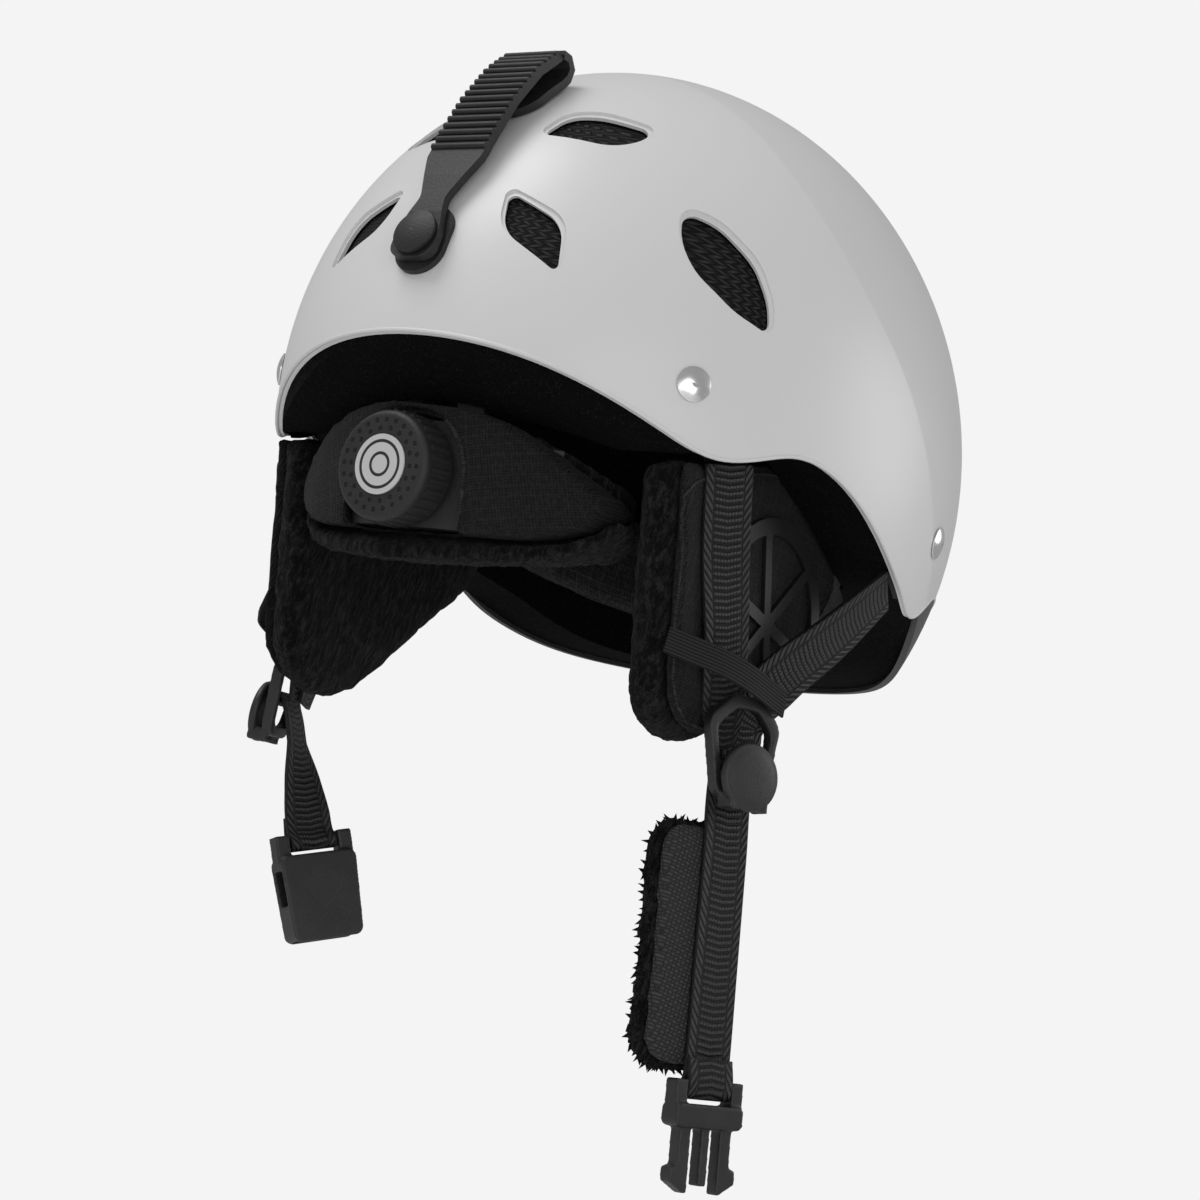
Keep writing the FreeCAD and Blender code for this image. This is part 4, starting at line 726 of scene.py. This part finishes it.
def webbing_mesh(stations, width, thickness, steps, columns=12):
    """Flat webbing through stations of (middle, across) or (middle, across, share of its width)."""
    middles = smooth_path([station[0] for station in stations], False, steps)
    rows = []
    span = len(middles) - 1
    for index, middle in enumerate(middles):
        at = index / span * (len(stations) - 1)
        low = min(int(at), len(stations) - 2)
        part = at - low
        across = stations[low][1].lerp(stations[low + 1][1], part)
        shares = [station[2] if len(station) > 2 else 1.0 for station in stations[low:low + 2]]
        share = shares[0] + (shares[1] - shares[0]) * part
        before = middles[max(index - 1, 0)]
        after = middles[min(index + 1, span)]
        way = (after - before).normalized()
        across = (across - way * across.dot(way)).normalized()
        rows.append((middle, across, share))
    work = bmesh.new()
    uv = work.loops.layers.uv.new("UVMap")
    offsets = [(number / columns - 0.5) * width for number in range(columns + 1)]
    edges = []
    first = [work.verts.new(rows[0][0] + rows[0][1] * offset * rows[0][2]) for offset in offsets]
    for one, two in zip(first, first[1:]):
        edges.append(work.edges.new((one, two)))
    length = 0.0
    for before, row in zip(rows, rows[1:]):
        length_before = length
        length += (row[0] - before[0]).length
        made = bmesh.ops.extrude_edge_only(work, edges=edges)["geom"]
        edges = [item for item in made if isinstance(item, bmesh.types.BMEdge)
                 and all(v in set(made) for v in item.verts)]
        verts = [item for item in made if isinstance(item, bmesh.types.BMVert)]
        faces = [item for item in made if isinstance(item, bmesh.types.BMFace)]
        places = {}
        for vert in verts:
            across_by = (vert.co - before[0]).dot(before[1]) / before[2]
            places[vert] = across_by
        for face in faces:
            for loop in face.loops:
                if loop.vert in places:
                    loop[uv].uv = (places[loop.vert], length)
                else:
                    loop[uv].uv = ((loop.vert.co - before[0]).dot(before[1]) / before[2], length_before)
        for vert, across_by in places.items():
            vert.co = row[0] + row[1] * across_by * row[2]
    bmesh.ops.recalc_face_normals(work, faces=work.faces)
    mesh = bpy.data.meshes.new("webbing")
    work.to_mesh(mesh)
    work.free()
    mesh = with_modifier(mesh, "SOLIDIFY", thickness=thickness, offset=0.0, use_rim=True)
    return with_modifier(mesh, "BEVEL", width=thickness * 0.35, segments=2, limit_method="ANGLE",
                         angle_limit=math.radians(50))


# --- places on the frame ---------------------------------------------------------------------------------

def mm(*values):
    return Vector(values) * MM


DIVIDER_OUT = Vector((-0.927184, 0.374607, 0.0))
DIVIDER_UP = Vector((0.096955, 0.239973, 0.965926))
DIVIDER_ACROSS = DIVIDER_UP.cross(DIVIDER_OUT)
DIVIDER_MIDDLE = mm(-94, 20, -114)
SHELL_HALF = mm(114.6, 138.0, 132.3)
NAPE_MIDDLE = mm(0, 33.503, -41.570)
NAPE_OUT = Vector((0.0, 0.951057, -0.309017))
NAPE_UP = Vector((0.0, 0.309017, 0.951057))
NAPE_RADIUS = 83.0
TWIST_RUN = (14.0, 42.0)
WEBBING_DEPTH = -3.2


def divider_place(across, up, out):
    return DIVIDER_MIDDLE + (DIVIDER_ACROSS * across + DIVIDER_UP * up + DIVIDER_OUT * out) * MM


def shell_normal(place):
    return Vector([place[axis] / SHELL_HALF[axis] ** 2 for axis in range(3)]).normalized()


def nape_place(across, up, radius=NAPE_RADIUS):
    out = math.sqrt(radius ** 2 - across ** 2)
    return NAPE_MIDDLE + (Vector((1, 0, 0)) * across + NAPE_UP * up + NAPE_OUT * out) * MM


FLAP_SEAM = [
    (77, -52), (70, -66), (63.5, -81), (56.5, -96), (50.5, -106), (41, -111), (29, -110), (17.5, -103),
    (4.5, -86.5), (-10, -64.5), (-22, -44), (-22, -31), (-9.5, -21.5), (7, -18), (25, -19.5),
    (48, -29.5), (69, -42),
]


def both(name, mesh, body, slot, replaced, *materials, padded=None):
    """A right-hand piece and its left-hand twin."""
    made = []
    for side, data in (("right", mesh), ("left", other_side(mesh))):
        thing = piece(f"{name}_{side}", data, f"{body}_{side}", slot, *materials)
        if replaced:
            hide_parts(*[f"{node}_{side}" for node in replaced])
        made.append(thing)
    return made


# --- operators -------------------------------------------------------------------------------------------

def rim_places(node):
    """The outer corner of a shell's lower edge, in order round the helmet."""
    work = bmesh.new()
    work.from_mesh(NODES[node].data)
    bmesh.ops.remove_doubles(work, verts=work.verts, dist=1e-6)

    def on_skin(vertex):
        return abs(sum((vertex.co[axis] / SHELL_HALF[axis]) ** 2 for axis in range(3)) - 1.0) < 0.002

    links = {}
    for edge in work.edges:
        if len(edge.link_faces) != 2 or edge.calc_face_angle() < 0.9 or not all(map(on_skin, edge.verts)):
            continue
        if any(vertex.co.z > -5 * MM for vertex in edge.verts):
            continue
        first, second = edge.verts
        links.setdefault(first.index, []).append(second.index)
        links.setdefault(second.index, []).append(first.index)
    work.verts.ensure_lookup_table()
    loops = []
    while links:
        at = next(iter(links))
        loop = []
        while at in links:
            loop.append(work.verts[at].co.copy())
            ahead = [index for index in links.pop(at) if index in links]
            at = ahead[0] if ahead else None
        loops.append(loop)
    work.free()
    return max(loops, key=lambda loop: sum((b - a).length for a, b in zip(loop, loop[1:])))


class HELMET_OT_shell(bpy.types.Operator):
    """Finishes the hard shell, its front edge and the foam liner"""
    bl_idname = "helmet.shell"
    bl_label = "Shell and liner"

    def execute(self, context):
        dress("outer_shell", "shell")
        rim = spaced(rim_places("outer_shell"), 1.5 * MM, True)
        places = [at - shell_normal(at) * (0.35 * MM) for at in rim]
        piece("shell_rim", tube_mesh(places, 0.75 * MM, True), "helmet", "white_shell", "shell")
        dress("front_brim", "trim")
        dress("eps_liner", "felt")
        return {"FINISHED"}


class HELMET_OT_vents(bpy.types.Operator):
    """Finishes the knit mesh in the vents"""
    bl_idname = "helmet.vents"
    bl_label = "Vent mesh"

    def execute(self, context):
        for name in sorted(NODES):
            if name.startswith("vent_mesh"):
                dress(name, "knit")
        return {"FINISHED"}


class HELMET_OT_rivets(bpy.types.Operator):
    """Finishes the rivets, washers and snap"""
    bl_idname = "helmet.rivets"
    bl_label = "Rivets and snap"

    def execute(self, context):
        dress("strap_rivets", "rivet")
        dress("rivet_washers", "washer")
        dress("retainer_rivets", "dark_metal")
        return {"FINISHED"}


class HELMET_OT_ear_flaps(bpy.types.Operator):
    """Sews the two ear flaps: plush body, ripstop face, seam, stitches and moulded badge"""
    bl_idname = "helmet.ear_flaps"
    bl_label = "Ear flaps"

    def execute(self, context):
        inner = [(mm(-80.6, 0, 0), (-1, 0, 0))]
        flap_nodes = ["ear_flap_shell_right", "ear_flap_lining_right"]
        body = plush(pad_mesh(flap_nodes, inner, inset=1.5, swell=1.2), 0.6 * MM)
        both("ear_flap_plush", body, "ear_flap", "fleece", ["ear_flap_lining"], "fleece", padded=0.8)
        outer = [(mm(-79.4, 0, 0), (1, 0, 0))]
        face = pad_mesh(["ear_flap_shell_right"], outer, grain=0.8, inset=1.3, swell=1.1, passes=4)
        face = creased(face, 0.22 * MM, 0.011)
        both("ear_flap_face", face, "ear_flap", "ripstop_fabric", ["ear_flap_shell"], "flap_cloth",
             padded=0.7)
        line = [mm(-84, y, z) for y, z in FLAP_SEAM]
        seam = laid_on(face, spaced(smooth_path(line, True, 12), 1.2 * MM, True), (1, 0, 0), 0.05 * MM)
        both("ear_flap_seam", tube_mesh(seam, 0.5 * MM, True), "ear_flap", "ripstop_fabric", None,
             "pad_cloth")
        middle = sum(line, Vector()) / len(line)
        inset = [middle + (at - middle) * 0.945 for at in line]
        row = laid_on(face, spaced(smooth_path(inset, True, 12), 3.2 * MM, True), (1, 0, 0), 0.1 * MM)
        both("ear_flap_stitches", stitch_mesh(row, (1, 0, 0)), "ear_flap", "black_webbing", None, "webbing")
        for side in SIDES:
            dress(f"ear_flap_badge_{side}", "badge")
        return {"FINISHED"}


class HELMET_OT_harness(bpy.types.Operator):
    """Weaves the two webbing legs on each side and the elastic over them"""
    bl_idname = "helmet.harness"
    bl_label = "Harness webbing"

    def execute(self, context):
        look = context.scene.helmet_webbing
        rear_top = mm(-88.4, 67.0, -36.0)
        rear_across = Vector((0, -0.5, -0.86)).cross(shell_normal(rear_top)).normalized()
        rear = [
            (rear_top, rear_across), (mm(-88.7, 54.0, -61.0), rear_across),
            (mm(-88.9, 40.5, -82.0), -DIVIDER_ACROSS), (divider_place(-4.8, 13.4, -4.4), -DIVIDER_ACROSS),
            (divider_place(-4.0, 6.0, -4.8), -DIVIDER_ACROSS, 0.78),
            (divider_place(-2.6, -1.0, -5.2), -DIVIDER_ACROSS, 0.6),
        ]
        both("rear_leg", webbing_mesh(rear, look.width, look.thickness, look.steps), "ear_flap",
             "black_webbing", ["rear_webbing"], "webbing")
        front_top = mm(-105.4, -21.0, -35.6)
        run = (DIVIDER_MIDDLE - front_top).normalized()
        front_across = run.cross(shell_normal(front_top)).normalized()
        near_across = run.cross(Vector((-1, 0.05, 0))).normalized()
        low_across = run.cross(DIVIDER_OUT).normalized()
        front = [
            (front_top, front_across), (mm(-99.4, -7.5, -59.5), near_across),
            (mm(-92.2, 7.5, -84.0), low_across),
            (divider_place(5.4, 11.6, -6.4), low_across), (divider_place(5.0, 5.0, -6.4), low_across, 0.92),
            (divider_place(3.8, -2.0, -6.6), low_across, 0.72),
        ]
        both("front_leg", webbing_mesh(front, look.width, look.thickness, look.steps), "ear_flap",
             "black_webbing", ["front_webbing"], "webbing")
        level = Vector((0.10, 0, 1)).normalized()
        band = [
            (mm(-81.6, 60.5, -94.0), level), (mm(-86.4, 55.0, -94.0), level),
            (mm(-95.4, 42.0, -93.6), level), (mm(-100.0, 12.0, -93.0), level),
        ]
        both("flap_elastic_band", webbing_mesh(band, 9.0 * MM, 0.9 * MM, look.steps), "ear_flap",
             "black_webbing", ["flap_elastic"], "elastic")
        for side in SIDES:
            dress(f"strap_end_rear_{side}", "webbing")
            dress(f"strap_end_front_{side}", "webbing")
        return {"FINISHED"}


def softened(node, voxel, inset, passes):
    """A kept part with its edges rounded off, as it comes out of the mould."""
    mesh = with_modifier(merged_copy([node]), "REMESH", mode="VOXEL", voxel_size=voxel)
    return eased(mesh, inset, passes)


def turned_profile(profile, steps=64):
    """A round piece from (radius, height) pairs, turned about Z and closed at its middle."""
    work = bmesh.new()
    verts = [work.verts.new((radius, 0, height)) for radius, height in profile]
    edges = [work.edges.new(pair) for pair in zip(verts, verts[1:])]
    bmesh.ops.spin(work, geom=verts + edges, cent=(0, 0, 0), axis=(0, 0, 1), dvec=(0, 0, 0),
                   angle=math.tau, steps=steps, use_merge=True, use_duplicate=False)
    bmesh.ops.remove_doubles(work, verts=work.verts, dist=1e-6)
    bmesh.ops.recalc_face_normals(work, faces=work.faces)
    mesh = bpy.data.meshes.new("turned")
    work.to_mesh(mesh)
    work.free()
    return mesh


CAP_PROFILE = [
    (0, 4.3), (8.6, 4.3), (10.0, 4.5), (10.8, 5.2), (10.85, 6.3), (10.5, 7.1), (9.9, 7.45),
    (9.4, 7.4), (8.8, 7.62), (6.5, 8.0), (3.5, 8.24), (0, 8.32),
]


class HELMET_OT_dividers(bpy.types.Operator):
    """Rounds the strap dividers and turns their caps, and finishes the buckle"""
    bl_idname = "helmet.dividers"
    bl_label = "Dividers and buckle"

    def execute(self, context):
        loop = softened("divider_frame_right", 0.5 * MM, 0.0, 6)
        both("divider_loop", loop, "ear_flap", "black_plastic", ["divider_frame"], "buckle")
        cap = turned_profile([(radius * MM, height * MM) for radius, height in CAP_PROFILE])
        turn = Matrix((DIVIDER_ACROSS, DIVIDER_UP, DIVIDER_OUT)).transposed().to_4x4()
        cap.transform(Matrix.Translation(divider_place(0, -7.6, 0)) @ turn)
        both("divider_cap", cap, "divider_lever", "black_plastic", ["divider_lever"], "buckle")
        for node in ("buckle_socket", "buckle_plug"):
            thing = piece(f"{node}_moulding", softened(node, 0.45 * MM, 0.0, 3),
                          "chin_strap_left" if node == "buckle_socket" else "chin_strap_right",
                          "black_plastic", "buckle")
            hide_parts(node)
        return {"FINISHED"}


def chin_stations(length, swing, twist=0.0):
    """Stations of the right-hand chin webbing: over the cross bar, down, and round the buckle's bar."""
    bar = divider_place(0, -3.0, 0)
    turn = Matrix.Rotation(swing, 3, DIVIDER_ACROSS)
    places = [(0.8, 2.5), (2.7, 0.6), (2.2, -2.2), (-3.0, -3.25),
              (-length * 0.3, -3.25), (-length * 0.6, -3.25),
              (-length + 9.0, -3.25), (-length + 3.6, -3.4), (-length - 1.6, -5.5), (-length - 2.2, -2.0),
              (-length + 0.6, -0.9), (-length + 9.0, -1.9)]
    stations = []
    for up, out in places:
        share = min(1.0, max(0.0, (-up - TWIST_RUN[0]) / (TWIST_RUN[1] - TWIST_RUN[0])))
        spin = Matrix.Rotation(twist * share, 3, DIVIDER_UP)
        middle = DIVIDER_OUT * (WEBBING_DEPTH * MM)
        about = spin @ (DIVIDER_OUT * (out - WEBBING_DEPTH) * MM)
        place = bar + turn @ (DIVIDER_UP * up * MM + middle + about)
        stations.append((place, turn @ (spin @ -DIVIDER_ACROSS)))
    return stations


class HELMET_OT_chin_straps(bpy.types.Operator):
    """Weaves the chin straps and sews the chin pad"""
    bl_idname = "helmet.chin_straps"
    bl_label = "Chin straps and pad"

    def execute(self, context):
        look = context.scene.helmet_webbing
        runs = (("right", 100.0, 0.0, 0.0), ("left", 50.0, math.radians(25), math.radians(48)))
        for side, length, swing, twist in runs:
            mesh = webbing_mesh(chin_stations(length, swing, twist), look.width, look.thickness, look.steps)
            if side == "left":
                mesh = other_side(mesh)
            strap = piece(f"chin_webbing_{side}", mesh, f"chin_strap_{side}", "black_webbing", "webbing")
            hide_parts(f"chin_strap_{side}")
        face = pad_mesh(["chin_pad"], grain=0.5, inset=0.5, swell=0.6, passes=2)
        cover = piece("chin_pad_cover", face, "chin_strap_right", "ripstop_fabric", "canvas")
        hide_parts("chin_pad")
        lining = plush(pad_mesh(["chin_pad_lining"], grain=0.5, inset=0.6, swell=1.4, passes=2), 0.7 * MM)
        wisps = wisp_mesh(lining, 1.7 * MM, 3.6 * MM, DIVIDER_OUT)
        piece("chin_pad_wisps", wisps, "chin_strap_right", "fleece", "fleece")
        inside = piece("chin_pad_plush", lining, "chin_strap_right", "fleece", "fleece")
        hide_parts("chin_pad_lining")
        return {"FINISHED"}


class HELMET_OT_nape(bpy.types.Operator):
    """Sews the nape pad and its plush lining"""
    bl_idname = "helmet.nape"
    bl_label = "Nape pad"

    def execute(self, context):
        face = creased(pad_mesh(["nape_pad"], grain=0.75, inset=0.9, swell=0.9, passes=2), 0.25 * MM, 0.012)
        cover = piece("nape_cover", face, "helmet", "ripstop_fabric", "nape_cloth")
        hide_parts("nape_pad")
        lining = plush(pad_mesh(["nape_lining"], grain=0.8, inset=0.6, swell=1.6, passes=2), 0.7 * MM)
        inside = piece("nape_plush", lining, "helmet", "fleece", "fleece")
        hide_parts("nape_lining")
        opening = [(-20.6, -13), (-20.6, 2), (-15.5, 14.5), (0, 19.8), (15.5, 14.5), (20.6, 2), (20.6, -13)]
        line = smooth_path([nape_place(x, h) for x, h in opening], False, 14)
        edge = smooth_path(laid_on(face, spaced(line, 6.0 * MM, False), -NAPE_OUT, 0.1 * MM), False, 6)
        piece("nape_opening_piping", tube_mesh(edge, 0.8 * MM, False), "helmet", "ripstop_fabric",
              "pad_cloth")
        return {"FINISHED"}


class HELMET_OT_dial(bpy.types.Operator):
    """Finishes the adjusting dial and the mechanism behind it"""
    bl_idname = "helmet.dial"
    bl_label = "Dial"

    def execute(self, context):
        dress("dial_knob", "rubber")
        dress("dial_disc", "disc")
        for node in ("dial_pinion", "dial_housing", "nape_cradle", "fit_rack_left", "fit_rack_right",
                     "fit_band"):
            dress(node, "inner_nylon")
        return {"FINISHED"}


class HELMET_OT_padding(bpy.types.Operator):
    """Sews the comfort pads inside the liner"""
    bl_idname = "helmet.padding"
    bl_label = "Inner padding"

    def execute(self, context):
        for node in ("brow_pad", "crown_pad", "rear_pad"):
            mesh = creased(pad_mesh([node], inset=0.8, swell=1.2, passes=2), 0.2 * MM, 0.01)
            pad = piece(f"{node}_cover", mesh, "helmet", "pad_foam", "pad_cloth")
            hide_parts(node)
        return {"FINISHED"}


class HELMET_OT_retainer(bpy.types.Operator):
    """Finishes the goggle strap retainer"""
    bl_idname = "helmet.retainer"
    bl_label = "Goggle strap retainer"

    def execute(self, context):
        for node in ("retainer_strap", "retainer_anchor", "retainer_cap", "retainer_base"):
            dress(node, "rubber")
        return {"FINISHED"}


class HELMET_OT_stage(bpy.types.Operator):
    """Sets the pale floor, the soft lights and the camera"""
    bl_idname = "helmet.stage"
    bl_label = "Stage"

    def execute(self, context):
        scene = context.scene
        scene.view_settings.view_transform = "Standard"
        self.floor(scene)
        self.world(scene)
        self.lamps(scene)
        self.camera(scene)
        return {"FINISHED"}

    def floor(self, scene):
        work = bmesh.new()
        bmesh.ops.create_grid(
            work, x_segments=2, y_segments=2, size=4.0, matrix=Matrix.Translation((0, 0, -0.46)))
        mesh = bpy.data.meshes.new("floor")
        work.to_mesh(mesh)
        work.free()
        floor = bpy.data.objects.new("floor", mesh)
        scene.collection.objects.link(floor)
        paint = Finish("pale_floor")
        paint.colour((0.88, 0.88, 0.88)).rough(0.9)
        mesh.materials.append(paint.material)

    def world(self, scene):
        world = bpy.data.worlds.new("studio")
        scene.world = world
        world.use_nodes = True
        tree = world.node_tree
        plain = tree.nodes["Background"]
        plain.inputs["Color"].default_value = (1, 1, 1, 1)
        plain.inputs["Strength"].default_value = 0.34
        seen = tree.nodes.new("ShaderNodeBackground")
        seen.inputs["Color"].default_value = (0.905, 0.905, 0.905, 1)
        seen.inputs["Strength"].default_value = 1.0
        rays = tree.nodes.new("ShaderNodeLightPath")
        mixer = tree.nodes.new("ShaderNodeMixShader")
        mirrored = tree.nodes.new("ShaderNodeMath")
        mirrored.operation = "MAXIMUM"
        tree.links.new(rays.outputs["Is Camera Ray"], mirrored.inputs[0])
        tree.links.new(rays.outputs["Is Transmission Ray"], mirrored.inputs[1])
        tree.links.new(mirrored.outputs[0], mixer.inputs[0])
        tree.links.new(plain.outputs[0], mixer.inputs[1])
        tree.links.new(seen.outputs[0], mixer.inputs[2])
        tree.links.new(mixer.outputs[0], tree.nodes["World Output"].inputs[0])

    def lamps(self, scene):
        aim = mm(0, 20, -40)
        lamps = [
            ("key", mm(500, 900, 1000), 0.9, 9.5),
            ("camera_fill", mm(-900, 700, -250), 1.0, 3.4),
            ("front_rim", mm(-900, -700, 500), 0.7, 2.6),
        ]
        for name, place, size, power in lamps:
            data = bpy.data.lights.new(name, "AREA")
            data.shape = "DISK"
            data.size = size
            data.energy = power
            lamp = bpy.data.objects.new(name, data)
            lamp.location = place
            lamp.rotation_euler = (aim - place).to_track_quat("-Z", "Y").to_euler()
            scene.collection.objects.link(lamp)

    def camera(self, scene):
        data = bpy.data.cameras.new("camera")
        data.lens = 75.0
        data.sensor_width = 36.0
        data.shift_x = -0.002
        data.shift_y = -0.104
        data.clip_start = 0.01
        camera = bpy.data.objects.new("camera", data)
        right = Vector((-0.8307, -0.4694, 0.2994)).normalized()
        ahead = Vector((0.5544, -0.7467, 0.3675)).normalized()
        up = right.cross(ahead).normalized()
        right = ahead.cross(up).normalized()
        turn = Matrix((right, up, -ahead)).transposed().to_4x4()
        camera.matrix_world = Matrix.Translation(mm(-489.4, 668.3, -338.5)) @ turn
        scene.collection.objects.link(camera)
        scene.camera = camera


OPERATORS = (
    HELMET_OT_stage, HELMET_OT_shell, HELMET_OT_vents, HELMET_OT_rivets, HELMET_OT_ear_flaps,
    HELMET_OT_harness,
    HELMET_OT_dividers, HELMET_OT_chin_straps, HELMET_OT_nape, HELMET_OT_dial, HELMET_OT_padding,
    HELMET_OT_retainer,
)


class HELMET_PT_panel(bpy.types.Panel):
    """Lists the helmet's sizes, colours and pieces"""
    bl_idname = "HELMET_PT_panel"
    bl_label = "Ski helmet"
    bl_space_type = "VIEW_3D"
    bl_region_type = "UI"
    bl_category = "Helmet"

    def draw(self, context):
        scene = context.scene
        for group in (scene.helmet_shell, scene.helmet_soft, scene.helmet_webbing):
            box = self.layout.box()
            for name in group.bl_rna.properties.keys():
                if name not in ("name", "rna_type"):
                    box.prop(group, name)
        for operator in OPERATORS:
            self.layout.operator(operator.bl_idname)


CLASSES = (ShellLook, SoftLook, WebbingLook, *OPERATORS, HELMET_PT_panel)


def register():
    for item in CLASSES:
        bpy.utils.register_class(item)
    bpy.types.Scene.helmet_shell = PointerProperty(type=ShellLook)
    bpy.types.Scene.helmet_soft = PointerProperty(type=SoftLook)
    bpy.types.Scene.helmet_webbing = PointerProperty(type=WebbingLook)


def unregister():
    del bpy.types.Scene.helmet_webbing
    del bpy.types.Scene.helmet_soft
    del bpy.types.Scene.helmet_shell
    for item in reversed(CLASSES):
        bpy.utils.unregister_class(item)


def main():
    register()
    for operator in OPERATORS:
        group, name = operator.bl_idname.split(".")
        getattr(getattr(bpy.ops, group), name)()


if __name__ == "__main__":
    main()
